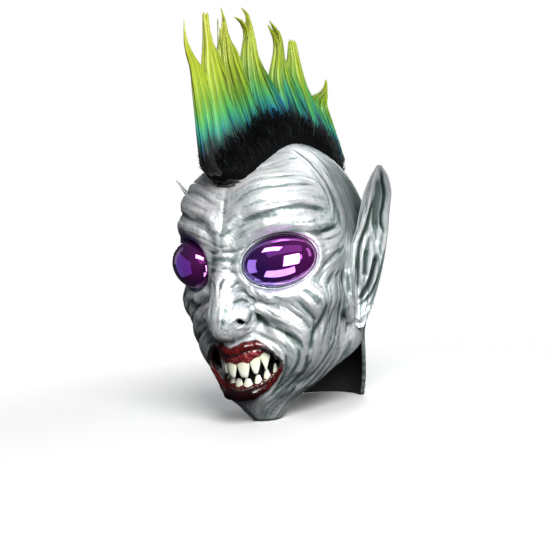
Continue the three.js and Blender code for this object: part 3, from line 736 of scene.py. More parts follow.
def boolean_shell():
    s = SKIN
    outer_obj = mesh_object("skin", s["v"], s["q"], body=None)
    F, axes = grid_field(inner, np.array([0, -140, -20]), np.array([90, 84, 264]), 3.2)
    iv, iq, _ = surface_nets(F, axes)
    for _ in range(2):
        f = inner(iv[:, 0], iv[:, 1], iv[:, 2])
        g = gradient(inner, iv)
        iv = iv - g * (np.clip(f / np.maximum((g**2).sum(1), 0.3), -2, 2) * 0.8)[:, None]
    inner_obj = mesh_object("skin_inside", iv, iq, body=None)
    mod = outer_obj.modifiers.new("cut", "BOOLEAN")
    mod.operation = "DIFFERENCE"
    mod.object = inner_obj
    mod.solver = "MANIFOLD"
    dg = bpy.context.evaluated_depsgraph_get()
    me = bpy.data.meshes.new_from_object(outer_obj.evaluated_get(dg))
    if len(me.polygons) < 1000:
        bpy.data.meshes.remove(me)
        mod.solver = "EXACT"
        dg = bpy.context.evaluated_depsgraph_get()
        me = bpy.data.meshes.new_from_object(outer_obj.evaluated_get(dg))
    for o in (outer_obj, inner_obj):
        m = o.data
        bpy.data.objects.remove(o)
        bpy.data.meshes.remove(m)
    me.name = "mask_skin_sculpted"
    obj = bpy.data.objects.new("mask_skin_sculpted", me)
    COL.objects.link(obj)
    # carry the painting over from the sculpted surface
    src = to_m(s["v"])
    tree = KDTree(len(src))
    for i, p in enumerate(src):
        tree.insert(p, i)
    tree.balance()
    co = np.empty(len(me.vertices) * 3, np.float32)
    me.vertices.foreach_get("co", co)
    co = co.reshape(-1, 3)
    near = np.empty(len(co), int)
    dist = np.empty(len(co))
    for k, p in enumerate(co):
        _, i, d = tree.find(p)
        near[k] = i
        dist[k] = d
    inside = (dist > 0.0004).astype(np.float32)
    paint = np.stack([s["paint_and_shading"][near], s["lip"][near], s["fine"][near] * 0.5, s["tint"][near]], -1)
    add_attr(me, "paint", paint)
    add_attr(me, "bare", np.maximum(inside, s["mouth"][near].astype(np.float32)))
    me.polygons.foreach_set("use_smooth", np.ones(len(me.polygons), bool))
    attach(obj, "head")
    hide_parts("mask_skin")
    return obj


skin = boolean_shell()


# ------------------------------------------------------------------ materials
class Nodes:
    """A short way to write a node graph."""

    def __init__(self, name):
        self.mat = bpy.data.materials.new(name)
        self.mat.use_nodes = True
        self.t = self.mat.node_tree
        self.bsdf = next(n for n in self.t.nodes if n.type == "BSDF_PRINCIPLED")

    def put(self, kind, inputs=None, **props):
        n = self.t.nodes.new(kind)
        for k, val in props.items():
            setattr(n, k, val)
        for k, val in (inputs or {}).items():
            self.set(n, k, val)
        return n

    def set(self, node, key, val):
        sock = node.inputs[key]
        if isinstance(val, bpy.types.NodeSocket):
            self.t.links.new(val, sock)
        elif isinstance(val, bpy.types.Node):
            self.t.links.new(val.outputs[0], sock)
        else:
            if isinstance(val, (tuple, list)) and len(val) == 3 and sock.type == "RGBA":
                val = (*val, 1)
            sock.default_value = val

    def math(self, op, a, b=0.0, clamp=False):
        return self.put("ShaderNodeMath", {0: a, 1: b}, operation=op, use_clamp=clamp).outputs[0]

    def mix(self, f, a, b, blend="MIX"):
        n = self.put("ShaderNodeMix", data_type="RGBA", blend_type=blend)
        self.set(n, 0, f)
        self.set(n, 6, a)
        self.set(n, 7, b)
        return n.outputs[2]

    def ramp(self, f, stops):
        n = self.put("ShaderNodeValToRGB", {0: f})
        e = n.color_ramp.elements
        while len(e) > 1:
            e.remove(e[-1])
        e[0].position, e[0].color = stops[0][0], (*stops[0][1], 1)
        for p, c in stops[1:]:
            x = e.new(p)
            x.color = (*c, 1)
        return n.outputs[0]

    def span(self, f, a, b, c=0.0, d=1.0):
        return self.put("ShaderNodeMapRange", {0: f, 1: a, 2: b, 3: c, 4: d}).outputs[0]

    def noise(self, scale, detail=3.0, rough=0.55, vec=None, kind="FBM"):
        n = self.put("ShaderNodeTexNoise", {"Scale": scale, "Detail": detail, "Roughness": rough})
        if vec is not None:
            self.set(n, "Vector", vec)
        return n.outputs[0]

    def coord(self):
        return self.put("ShaderNodeTexCoord").outputs["Object"]

    def attr(self, name):
        return self.put("ShaderNodeAttribute", attribute_name=name, attribute_type="GEOMETRY")

    def bump(self, height, strength, dist, normal=None):
        n = self.put("ShaderNodeBump", {"Strength": strength, "Distance": dist, "Height": height})
        if normal is not None:
            self.set(n, "Normal", normal)
        return n.outputs[0]

    def out(self, **kw):
        for k, val in kw.items():
            self.set(self.bsdf, k.replace("_", " "), val)
        return self.mat


def give(obj, mat):
    obj.data.materials.clear()
    obj.data.materials.append(mat)


def silver_latex(name, use_paint=True):
    g = Nodes(name)
    co = g.coord()
    a = g.attr("paint")
    sep = g.put("ShaderNodeSeparateColor", {0: a.outputs["Color"]})
    paint_and_shading, lip, fine = sep.outputs[0], sep.outputs[1], sep.outputs[2]
    tint = a.outputs["Alpha"]
    bare = g.attr("bare").outputs["Fac"]
    speck = g.noise(900, 2, 0.6, co)
    blot = g.noise(60, 4, 0.6, co)
    # silver with a thin dark wash left in the hollows, and a faint green and pink drift in the paint; the same value
    # also holds painted shade on the scalp, temples, jaw, nose and lower ear, and painted light on the forehead and
    # upper lip
    silver = g.mix(g.span(tint, -0.7, 0.7), (0.66, 0.73, 0.735), (0.76, 0.745, 0.775))
    silver = g.mix(g.span(speck, 0.3, 0.7, 0.0, 0.25), silver, (0.82, 0.85, 0.86))
    mid = g.mix(g.span(tint, -0.6, 0.6), (0.15, 0.205, 0.20), (0.20, 0.22, 0.235))
    dark = g.mix(g.span(blot, 0.35, 0.65), (0.006, 0.012, 0.011), (0.022, 0.045, 0.032))
    w2 = g.math("ADD", paint_and_shading, g.math("MULTIPLY", g.math("SUBTRACT", blot, 0.5), 0.30))
    w2 = g.math("SUBTRACT", w2, g.math("MULTIPLY", fine, 0.10))
    col = g.mix(g.span(w2, 0.05, 0.38), silver, mid)
    col = g.mix(g.span(w2, 0.36, 0.85), col, dark)
    # red lips, darker towards the mouth and nearly black where the painted shade lies on the lower lip, with lighter
    # worn streaks
    lipcol = g.mix(g.span(g.noise(330, 4, 0.65, co), 0.40, 0.70), (0.034, 0.003, 0.0035), (0.15, 0.010, 0.012))
    lipcol = g.mix(g.span(w2, 0.10, 0.75), lipcol, (0.006, 0.001, 0.0015))
    col = g.mix(lip, col, lipcol)
    inside = g.mix(g.span(blot, 0.3, 0.7), (0.012, 0.013, 0.014), (0.022, 0.023, 0.024))
    col = g.mix(bare, col, inside)
    notlip = g.math("SUBTRACT", 1.0, g.math("MAXIMUM", lip, bare))
    metal = g.math("MULTIPLY", notlip, g.span(w2, 0.1, 0.8, 0.58, 0.15))
    rough = g.math("ADD", g.span(w2, 0.0, 0.9, 0.43, 0.58), g.math("MULTIPLY", g.math("SUBTRACT", g.noise(140, 3, 0.6, co), 0.5), 0.22))
    rough = g.put("ShaderNodeMix", {0: lip, 2: rough, 3: 0.20}).outputs[0]
    rough = g.put("ShaderNodeMix", {0: bare, 2: rough, 3: 0.7}).outputs[0]
    b1 = g.bump(g.math("ADD", fine, g.math("MULTIPLY", g.noise(620, 3, 0.6, co), 0.8)), 0.35, 0.0006)
    return g.out(Base_Color=col, Metallic=metal, Roughness=rough, Normal=b1, Specular_IOR_Level=0.5, Coat_Weight=0.12, Coat_Roughness=0.25)


give(skin, silver_latex("silver_painted_latex"))


# ------------------------------------------------------------------ eyes
def eye_point(side, u, v, w):
    U, V, N, O = eye_axes(side)
    u, v, w = np.asarray(u, float), np.asarray(v, float), np.asarray(w, float)
    return O + u[..., None] * U + v[..., None] * V + w[..., None] * N


def revolve(side, profile, segs, name, closed_ring=False):
    """Sweeps a profile of (kind, offset, height) rows round the lens's ellipse."""
    q = np.linspace(0, 2 * math.pi, segs, endpoint=False)
    rows = []
    for k, o, w in profile:
        if k == "share":  # a share of the lens's half axes
            rows.append(eye_point(side, EYE["a"] * o * np.cos(q), EYE["b"] * o * np.sin(q), np.full(segs, w)))
        else:  # an offset in millimetres outside the ellipse
            ux, vy = EYE["b"] * np.cos(q), EYE["a"] * np.sin(q)
            ln = np.hypot(ux, vy)
            rows.append(eye_point(side, EYE["a"] * np.cos(q) + o * ux / ln, EYE["b"] * np.sin(q) + o * vy / ln, np.full(segs, w)))
    v = np.concatenate(rows)
    m = len(rows)
    f = []
    for i in range(m if closed_ring else m - 1):
        a, b = i * segs, ((i + 1) % m) * segs
        for j in range(segs):
            k = (j + 1) % segs
            f.append((a + j, a + k, b + k, b + j))
    return v, f


def orient(obj):
    import bmesh

    bm = bmesh.new()
    bm.from_mesh(obj.data)
    bmesh.ops.recalc_face_normals(bm, faces=bm.faces)
    bm.to_mesh(obj.data)
    bm.free()


def lens(side, label):
    segs, d, a = 96, EYE["dome"], EYE["a"]
    wall = 1.8
    prof = []
    for i in range(1, 21):
        q = math.pi / 2 * i / 20
        prof.append(("share", math.sin(q), d * math.cos(q)))
    prof[-1] = ("share", 1.0, 0.0)
    prof += [("off", 0.25, -0.2), ("off", EYE["flange"] - 0.1, -0.25), ("off", EYE["flange"], -0.6), ("off", EYE["flange"], -1.4), ("off", EYE["flange"] - 0.3, -1.7)]
    prof += [("share", 1 - wall / a, -1.7)]
    for i in range(14, 0, -1):
        q = math.pi / 2 * i / 15
        prof.append(("share", (1 - wall / a) * math.sin(q), (d - wall) * math.cos(q) - 0.2))
    v, f = revolve(side, prof, segs, "lens")
    n = len(v)
    v = np.concatenate([v, eye_point(side, np.zeros(2), np.zeros(2), np.array([d, d - wall - 0.2]))])
    last = (len(prof) - 1) * segs
    for j in range(segs):
        f.append((n, (j + 1) % segs, j))
        f.append((n + 1, last + j, last + (j + 1) % segs))
    obj = mesh_object(label + "_eye_lens_dome", v, f)
    orient(obj)
    U, V, N, O = eye_axes(side)
    rel = v - O
    add_attr(obj.data, "lens_uvw", np.stack([rel @ U / EYE["a"] * 0.5 + 0.5, rel @ V / EYE["b"] * 0.5 + 0.5, rel @ N / d], -1))
    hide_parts(label + "_eye_lens")
    return obj


def bezel(side, label):
    prof = [("off", 0.30, 0.25), ("off", 0.32, 1.2), ("off", 0.5, 1.9), ("off", 0.95, 2.4), ("off", 1.5, 2.4), ("off", 2.0, 1.9), ("off", 2.4, 1.1), ("off", 3.2, 0.3), ("off", 4.2, 0.2), ("off", 2.4, 0.05)]
    v, f = revolve(side, prof, 128, "bezel", closed_ring=True)
    # a hand-laid ring isn't quite even
    q = np.tile(np.linspace(0, 2 * math.pi, 128, endpoint=False), len(prof))
    U, V, N, O = eye_axes(side)
    v = v + N * (0.16 * np.sin(5 * q + 1) + 0.10 * np.sin(11 * q))[:, None] * np.repeat([0.0, 0.5, 0.8, 1, 1, 1, 0.8, 0.5, 0, 0], 128)[:, None]
    obj = mesh_object(label + "_eye_bezel_ring", v, f)
    orient(obj)
    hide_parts(label + "_eye_bezel")
    return obj


def lens_material():
    g = Nodes("violet_mirror_lens")
    a = g.attr("lens_uvw")
    sep = g.put("ShaderNodeSeparateColor", {0: a.outputs["Color"]})
    co = g.coord()
    # the dye runs from blue-violet near the nose to magenta at the outer top, and is darkest at the edge
    along = g.math("ADD", g.math("MULTIPLY", sep.outputs[0], 0.85), g.math("MULTIPLY", sep.outputs[1], 0.25))
    col = g.ramp(along, [(0.0, (0.10, 0.05, 0.46)), (0.35, (0.15, 0.03, 0.38)), (0.62, (0.30, 0.025, 0.40)), (1.0, (0.50, 0.03, 0.45))])
    edge = g.span(sep.outputs[2], 0.0, 0.42, 0.22, 1.0)
    col = g.mix(edge, (0.012, 0.003, 0.03), col)
    smear = g.noise(45, 3, 0.5, co)
    col = g.mix(g.span(smear, 0.35, 0.75, 0, 0.25), col, (0.10, 0.04, 0.26))
    rough = g.span(g.noise(220, 4, 0.6, co), 0.3, 0.8, 0.015, 0.06)
    return g.out(Base_Color=col, Metallic=0.94, Roughness=rough, Coat_Weight=1.0, Coat_Roughness=0.015, Coat_IOR=1.6, Specular_IOR_Level=0.7)


def bezel_material():
    g = Nodes("silver_rim_paint")
    co = g.coord()
    n1 = g.noise(300, 4, 0.6, co)
    n2 = g.noise(75, 3, 0.6, co)
    col = g.mix(g.span(n2, 0.35, 0.7), (0.80, 0.86, 0.87), (0.50, 0.55, 0.55))
    col = g.mix(g.span(n1, 0.62, 0.78, 0, 0.6), col, (0.10, 0.13, 0.12))
    return g.out(Base_Color=col, Metallic=0.55, Roughness=g.span(n1, 0.3, 0.7, 0.22, 0.40), Normal=g.bump(n1, 0.3, 0.0004), Coat_Weight=0.3, Coat_Roughness=0.2)


LENS_MAT, BEZEL_MAT = lens_material(), bezel_material()
LENSES = []
for label, side in (("left", 1), ("right", -1)):
    LENSES.append(lens(side, label))
    give(LENSES[-1], LENS_MAT)
    give(bezel(side, label), BEZEL_MAT)


# ------------------------------------------------------------------ mouth
UPPER = dict(y=-108.2, curve=47.0, d=8.0, half=33.0, far=75.5, edge=([0, 10, 16, 22, 30, 34], [60.2, 60.2, 63.4, 68.2, 69.5, 70.5]))
LOWER = dict(y=-100.8, curve=47.0, d=7.0, half=28.0, far=31.0, edge=([0, 8, 13, 20, 26, 29], [38.4, 38.6, 41.0, 45.0, 50.0, 52.0]))
# name, x, width, root, edge, how blunt its end is
UPPER_TEETH = [("incisor", 5.9, 11.8, 64.5, 47.0, 0.66), ("lateral", 15.8, 9.8, 68, 50.0, 0.52), ("fang", 22.8, 9.8, 73, 52, 0.12), ("molar", 29.8, 8.0, 72, 60.5, 0.2)]
LOWER_TEETH = [("incisor", 4.7, 9.2, 35, 45.0, 0.7), ("lateral", 13.8, 7.6, 37, 47.8, 0.6), ("canine", 20.4, 6.6, 41, 52.6, 0.5), ("molar", 26.0, 5.0, 46, 57, 0.45)]


def arch(a, x):
    y = a["y"] + x * x / a["curve"]
    s = 2 * x / a["curve"]
    ln = np.sqrt(1 + s * s)
    return y, 1 / ln, s / ln  # depth, and the tangent's x and y


def tooth(name, a, side, x, width, root, edge, blunt, seed, node):
    r = rng(seed)
    px = side * x
    y, tx, ty = arch(a, px)
    nx, ny = ty, -tx  # outwards
    rows, m, n = [], 28, 16
    lean = r.uniform(-0.5, 0.5)
    upper = edge < root
    rr = root + (2.0 if upper else -2.0)
    for i in range(n + 1):
        f = i / n
        z = rr + (edge - rr) * f
        # belly of the crown, waist at the gum and a shaped cutting edge
        belly = 0.84 + 0.18 * math.sin(math.pi * min(1, f * 1.15) ** 0.9)
        tip = 1 - (1 - blunt) * max(0.0, (f - 0.42) / 0.58) ** (1.7 if blunt > 0.3 else 1.15)
        w = width / 2 * belly * tip
        d = 3.1 * (1 - 0.60 * f**1.2) * (0.75 + 0.25 * tip)
        if i == n:
            w, d = w * 0.72, d * 0.45
        if i == n - 1:
            w, d = w * 0.93, d * 0.8
        q = np.linspace(0, 2 * math.pi, m, endpoint=False)
        c, s = np.cos(q), np.sin(q)
        e = 0.78  # squarer than an ellipse
        aa = w * np.sign(c) * np.abs(c) ** e
        bb = d * np.sign(s) * np.abs(s) ** 0.9
        bb = bb + 0.10 * np.cos(aa / max(w, 0.3) * 5) * (s > 0)  # shallow lobes down the front
        aa = aa + lean * f
        bb = bb + 1.2 + 0.5 * math.sin(f * 2.2)
        zz = z + 0.35 * np.cos(aa / max(width, 1) * 9 + seed) * (f > 0.9)
        rows.append(np.stack([px + tx * aa + nx * bb, y + ty * aa + ny * bb, zz + np.zeros(m)], -1))
    v = np.concatenate(rows)
    k = len(v)
    v = np.concatenate([v, rows[0].mean(0)[None], (rows[-1].mean(0) + [0, 0, 0.25 if not upper else -0.25])[None]])
    f = [tuple(q_) for q_ in tube_faces(n + 1, m)]
    for j in range(m):
        f.append((k, (j + 1) % m, j))
        f.append((k + 1, n * m + j, n * m + (j + 1) % m))
    t = np.concatenate([np.repeat(np.arange(n + 1) / n, m), [0, 1]])
    obj = mesh_object(name, v, f, attrs={"crown": t})
    orient(obj)
    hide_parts(node)
    return obj


def gum(name, a, teeth, node, upper):
    """A rounded ridge along the arch, swollen over each root and drawn up between the teeth."""
    n, m = 150, 26
    xs = np.linspace(-a["half"], a["half"], n)
    y, tx, ty = arch(a, xs)
    nx, ny = ty, -tx
    # the edge where the crowns come out, and the other edge under the lip
    near = np.interp(np.abs(xs), *a["edge"])
    zc, half = (near + a["far"]) / 2, np.abs(a["far"] - near) / 2
    root = np.zeros(n)
    for _, x, w, *_ in teeth:
        for s in (-1, 1):
            root = np.maximum(root, np.exp(-(((xs - s * x) / (w * 0.42)) ** 2)))
    end = np.clip(np.minimum(xs + a["half"], a["half"] - xs) / 3.0, 0.05, 1) ** 0.5
    q = np.linspace(0, 2 * math.pi, m, endpoint=False)
    v = np.empty((n, m, 3))
    for j, t in enumerate(q):
        c, s = math.cos(t), math.sin(t)
        toward = -s if upper else s  # +1 at the side where the teeth come out
        o = (a["d"] / 2 + 0.9) * math.copysign(abs(c) ** 0.6, c) * (1 + 0.14 * root * (c > 0)) * end + 0.9
        w = half * s * end
        w = w + (1.5 * (1 - root) - 0.8 * root) * max(0.0, toward) * (-1 if upper else 1) * end
        o = o + 0.18 * np.sin(xs * 1.7 + 3 * s) + 0.12 * np.sin(xs * 3.9 + 5 * c)
        v[:, j] = np.stack([xs + nx * o, y + ny * o, zc + w], -1)
    f = tube_faces(n, m)
    vv = v.reshape(-1, 3)
    k = len(vv)
    vv = np.concatenate([vv, v[0].mean(0)[None], v[-1].mean(0)[None]])
    f = [tuple(x) for x in f]
    for j in range(m):
        f.append((k, (j + 1) % m, j))
        f.append((k + 1, (n - 1) * m + j, (n - 1) * m + (j + 1) % m))
    obj = mesh_object(name, vv, f)
    orient(obj)
    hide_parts(node)
    return obj


def tooth_material():
    g = Nodes("ivory_gloss")
    co = g.coord()
    t = g.attr("crown").outputs["Fac"]
    n = g.noise(260, 4, 0.6, co)
    col = g.ramp(g.math("ADD", t, g.math("MULTIPLY", g.math("SUBTRACT", n, 0.5), 0.35)), [(0.0, (0.22, 0.16, 0.08)), (0.16, (0.50, 0.46, 0.30)), (0.34, (0.74, 0.74, 0.58)), (0.75, (0.82, 0.84, 0.72)), (1.0, (0.80, 0.82, 0.73))])
    stain = g.span(g.noise(90, 3, 0.7, co), 0.60, 0.82, 0, 0.25)
    col = g.mix(stain, col, (0.30, 0.22, 0.09))
    return g.out(Base_Color=col, Roughness=g.span(n, 0.3, 0.7, 0.10, 0.26), Specular_IOR_Level=0.6, Coat_Weight=0.6, Coat_Roughness=0.06, Subsurface_Weight=0.12, Subsurface_Scale=0.002, Subsurface_Radius=(1.0, 0.8, 0.5), Normal=g.bump(n, 0.12, 0.0005))


def gum_material(name, deep):
    g = Nodes(name)
    co = g.coord()
    n = g.noise(230, 5, 0.62, co)
    col = g.ramp(n, [(0.30, (0.06, 0.005, 0.008)), (0.48, (0.17 * deep, 0.016 * deep, 0.021 * deep)), (0.68, (0.42 * deep, 0.12 * deep, 0.12 * deep))])
    return g.out(Base_Color=col, Roughness=g.span(n, 0.3, 0.7, 0.10, 0.30), Specular_IOR_Level=0.6, Coat_Weight=0.9, Coat_Roughness=0.06, Normal=g.bump(n, 0.5, 0.0012))


# painted shade: the lower gum takes the gum paint scaled by deep = 0.28, darker for its place low inside the open
# mouth
TOOTH_MAT, GUM_MAT, LOW_GUM_SHADED_MAT = tooth_material(), gum_material("wet_red_gum", 1.0), gum_material("wet_red_gum_painted_shade", 0.28)
seed = 100
for prefix, a, teeth in (("upper", UPPER, UPPER_TEETH), ("lower", LOWER, LOWER_TEETH)):
    for kind, x, w, root, edge, blunt in teeth:
        for label, side in (("left", 1), ("right", -1)):
            seed += 1
            node = f"{prefix}_{label}_{kind}"
            give(tooth(node + "_crown", a, side, x, w, root, edge, blunt, seed, node), TOOTH_MAT)
give(gum("upper_gum_ridge", UPPER, UPPER_TEETH, "upper_gum", True), GUM_MAT)
give(gum("lower_gum_ridge", LOWER, LOWER_TEETH, "lower_gum", False), LOW_GUM_SHADED_MAT)


def mouth_cloth():
    """Black net pulled across behind the teeth."""
    nx_, nz_ = 60, 40
    xs = np.linspace(-34, 34, nx_)
    zs = np.linspace(34, 78, nz_)
    X, Z = np.meshgrid(xs, zs, indexing="ij")
    r = rng(5)
    bow = np.sin(np.pi * (X + 34) / 68) * np.sin(np.pi * (Z - 34) / 44)
    Y = -86 + X * X / 60 + 0.6 + 1.8 * bow + 0.35 * np.sin(Z * 0.55 + X * 0.12) * bow
    v = np.concatenate([np.stack([X, Y - 0.3, Z], -1).reshape(-1, 3), np.stack([X, Y + 0.3, Z], -1).reshape(-1, 3)])
    f = []
    k = nx_ * nz_
    for i in range(nx_ - 1):
        for j in range(nz_ - 1):
            a, b = i * nz_ + j, (i + 1) * nz_ + j
            f.append((a, b, b + 1, a + 1))
            f.append((k + a, k + a + 1, k + b + 1, k + b))
    for i in range(nx_ - 1):
        a, b = i * nz_, (i + 1) * nz_
        f.append((b, a, k + a, k + b))
        a, b = i * nz_ + nz_ - 1, (i + 1) * nz_ + nz_ - 1
        f.append((a, b, k + b, k + a))
    for j in range(nz_ - 1):
        f.append((j, j + 1, k + j + 1, k + j))
        a = (nx_ - 1) * nz_ + j
        f.append((a + 1, a, k + a, k + a + 1))
    obj = mesh_object("mouth_net", v, f)
    orient(obj)
    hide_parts("mouth_cloth")
    g = Nodes("black_net")
    co = g.coord()
    w1 = g.put("ShaderNodeTexWave", {"Vector": co, "Scale": 210.0}, bands_direction="X").outputs[1]
    w2 = g.put("ShaderNodeTexWave", {"Vector": co, "Scale": 210.0}, bands_direction="Z").outputs[1]
    wv = g.math("MAXIMUM", w1, w2)
    col = g.mix(wv, (0.002, 0.002, 0.0025), (0.014, 0.014, 0.016))
    give(obj, g.out(Base_Color=col, Roughness=0.95, Specular_IOR_Level=0.15, Sheen_Weight=0.2, Normal=g.bump(wv, 0.5, 0.0004)))
    return obj


mouth_cloth()


# ------------------------------------------------------------------ ears
EAR = np.array([
    [78, 76.4, -12, 79.5, -9], [95, 76.4, -13, 85.5, 1], [112, 77.2, -13.5, 89.5, 6], [131, 78.6, -13.5, 95, 10], [150, 80.2, -13.5, 99, 13],
    [168, 82, -13, 103, 13.5], [185, 88.5, -15, 107, 11.5], [205, 97.5, -19, 115.5, 4], [221, 108.5, -22, 119, -7], [231, 116.5, -22, 118.8, -18],
], float)
# ridges (+) and grooves (-) on the hollow side: height, width in millimetres, then points as (across, up), both 0..1
EAR_FORMS = [
    (2.4, 1.5, [(0.10, 1.0), (0.32, 0.91), (0.37, 0.85), (0.36, 0.79), (0.30, 0.71), (0.24, 0.65), (0.18, 0.57), (0.11, 0.50), (0.09, 0.41), (0.10, 0.31), (0.16, 0.24)]),
    (-2.6, 1.7, [(0.50, 0.80), (0.46, 0.75), (0.41, 0.66), (0.32, 0.57), (0.25, 0.49), (0.21, 0.39), (0.22, 0.30), (0.34, 0.23)]),
    (-2.0, 3.4, [(0.55, 0.92), (0.60, 0.83), (0.60, 0.74), (0.62, 0.66), (0.66, 0.59)]),
    (2.2, 1.2, [(0.52, 0.60), (0.38, 0.48), (0.31, 0.40), (0.32, 0.33), (0.42, 0.27), (0.53, 0.245)]),
    (2.2, 1.2, [(0.52, 0.60), (0.60, 0.50), (0.64, 0.43), (0.61, 0.35), (0.57, 0.27), (0.53, 0.245)]),
    (-1.6, 2.2, [(0.48, 0.48), (0.47, 0.40), (0.48, 0.31)]),
    (2.4, 1.3, [(0.50, 0.64), (0.62, 0.55), (0.74, 0.49), (0.85, 0.43), (0.89, 0.37), (0.86, 0.29), (0.76, 0.22)]),
    (-4.2, 1.8, [(0.78, 0.44), (0.75, 0.38), (0.70, 0.31), (0.62, 0.24), (0.46, 0.19), (0.30, 0.175)]),
    (-2.0, 1.5, [(0.66, 0.98), (0.72, 0.90), (0.80, 0.81), (0.79, 0.74), (0.76, 0.69), (0.80, 0.62), (0.90, 0.57)]),
    (2.6, 1.7, [(0.90, 0.995), (0.93, 0.90), (0.94, 0.80), (0.92, 0.70), (0.93, 0.60), (0.94, 0.50), (0.95, 0.40), (0.93, 0.30), (0.90, 0.22), (0.80, 0.15), (0.6, 0.12)]),
    (-1.6, 1.2, [(0.97, 0.50), (0.96, 0.40), (0.90, 0.30), (0.80, 0.20), (0.55, 0.15), (0.30, 0.14)]),
    (2.4, 3.0, [(0.75, 0.10), (0.45, 0.06), (0.25, 0.04)]),
    (1.4, 2.0, [(0.05, 0.16), (0.10, 0.10), (0.15, 0.05)]),
    (-1.0, 1.0, [(0.02, 0.95), (0.18, 0.86), (0.20, 0.76), (0.10, 0.66), (0.06, 0.55), (0.03, 0.45)]),
]


def ear_rows(z):
    out = []
    t = np.linspace(78, 231, 400)
    for i in range(1, 5):
        c = np.interp(t, EAR[:, 0], EAR[:, i])
        for _ in range(60):
            c[1:-1] = (c[:-2] + 2 * c[1:-1] + c[2:]) / 4
        out.append(np.interp(z, t, c))
    return out


def ear_point(side, u, v, lift):
    """lift: height over the blade's mean surface, towards its hollow side."""
    z = 78 + 153 * v
    fx, fy, rx, ry = ear_rows(z)
    root = np.clip((172 - z) / 14, 0, 1) * np.clip((z - 76) / 6, 0, 1)
    fx = fx - 4.5 * root  # the root goes in under the skin
    dx, dy = rx - fx, ry - fy
    ln = np.hypot(dx, dy)
    tx, ty = dx / ln, dy / ln
    nx, ny = ty, -tx
    cup = np.minimum(6, ln * 0.2)
    o = -4 * cup * u * (1 - u) + lift
    # tip and lobe end in a rounded outline
    return np.stack([side * (fx + dx * u + nx * o), fy + dy * u + ny * o, z + 0 * u], -1), ln


def ear(side, label):
    nv, nu = 190, 56
    vs = np.linspace(0, 1, nv)
    us = (1 - np.cos(np.linspace(0, math.pi, nu))) / 2 * 0.5 + np.linspace(0, 1, nu) * 0.5
    U, V = np.meshgrid(us, vs)
    flat, ln = ear_point(1, U, V, np.zeros_like(U))
    p = flat.reshape(-1, 3)
    h = np.zeros(len(p))
    paint = np.zeros(len(p))
    for amp, w, pts in EAR_FORMS:
        uv = np.array(pts, float)
        q, _ = ear_point(1, uv[:, 0], uv[:, 1], np.zeros(len(uv)))
        q = resample(q, 1.5)
        s, t = line_distance(p, q)
        taper = np.clip(np.minimum(t, 1 - t) * 7 + 0.15, 0, 1)
        h += amp * taper * np.exp(-((s / w) ** 2))
        if amp < 0:
            paint = np.maximum(paint, taper * min(1.0, -amp / 2.6) * np.exp(-((s / (1.1 * w)) ** 2)))
    h = h.reshape(U.shape)
    paint = paint.reshape(U.shape)
    # long fine streaks up the blade
    sc = np.stack([U.ravel() * 16, V.ravel() * 7 + U.ravel() * 1.5, np.full(U.size, 3.0 * side)], -1)
    st = noise3(sc, 1.0, 31) + 0.5 * noise3(sc * [2.3, 1.6, 1], 1.0, 32)
    st = st.reshape(U.shape)
    h = h + 0.28 * st
    end = np.clip(np.minimum(V * 153 / 7, (1 - V) * 153 / 9), 0, 1) ** 0.6
    th = np.minimum(3.2, 1.3 + ln * 0.11) * (0.35 + 0.65 * end)
    edge = (1 - np.abs(2 * U - 1) ** 7) ** 0.5
    front = h * edge * (0.3 + 0.7 * end) + th / 2 * edge
    sc2 = np.stack([U.ravel() * 9, V.ravel() * 8, np.full(U.size, 9.0 * side)], -1)
    back_relief = 0.35 * noise3(sc2, 1.0, 41).reshape(U.shape) - 0.35 * np.maximum(h, 0) * 0.5
    back = (-th / 2 + np.minimum(h, 0) * 0.35 + back_relief * 0.6) * edge
    f3, _ = ear_point(side, U, V, front)
    b3, _ = ear_point(side, U, V, back)
    # a blunt outline at the tip: pull the ends together
    ring = np.concatenate([f3, b3[:, ::-1][:, 1:-1]], 1)
    m = ring.shape[1]
    v = ring.reshape(-1, 3)
    k = len(v)
    top, bot = ring[-1].mean(0) + [side * 0.3, 0, 0.9], ring[0].mean(0) - [0, 0, 0.8]
    v = np.concatenate([v, bot[None], top[None]])
    f = [tuple(x) for x in tube_faces(nv, m)]
    for j in range(m):
        f.append((k, (j + 1) % m, j))
        f.append((k + 1, (nv - 1) * m + j, (nv - 1) * m + (j + 1) % m))
    hollow = np.zeros((nv, m))
    lap = h - (np.roll(h, 3, 1) + np.roll(h, -3, 1)) / 2
    # painted shade: the first term darkens the lower part of the ear; the others are paint in its grooves, hollows and
    # streaks
    wf = 0.14 * sstep(0.62, 0.25, V) + 0.85 * paint + 0.30 * sstep(0.3, 1.5, -lap) + 0.16 * sstep(0, 0.9, -st)
    wb = 0.22 * sstep(-0.2, 0.7, -st) + 0.25 * np.exp(-((U - 0.5) / 0.3) ** 2)
    paint_and_shading = np.concatenate([wf, wb[:, ::-1][:, 1:-1]], 1).ravel()
    st2 = np.concatenate([st, st[:, ::-1][:, 1:-1]], 1).ravel()
    tint = np.concatenate([0.5 * st - 0.5 * paint, (0.3 * st)[:, ::-1][:, 1:-1]], 1).ravel()
    paintc = np.stack([np.clip(paint_and_shading, 0, 1), np.zeros_like(paint_and_shading), st2, tint], -1)
    paintc = np.concatenate([paintc, paintc[-2:]])
    obj = mesh_object(label + "_ear_sculpted", v, f, body=None, attrs={"bare": np.zeros(len(v))})
    orient(obj)
    add_attr(obj.data, "paint", paintc)
    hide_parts(label + "_ear")
    j = next(j for j in frame["joints"] if j["name"] == label + "_ear_flex")
    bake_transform(obj)
    return obj


EAR_MAT = silver_latex("silver_painted_ear")
for label, side in (("left", 1), ("right", -1)):
    give(ear(side, label), EAR_MAT)


# ------------------------------------------------------------------ hair
PIVOT = np.array([0.0, -12.0, 150.0])
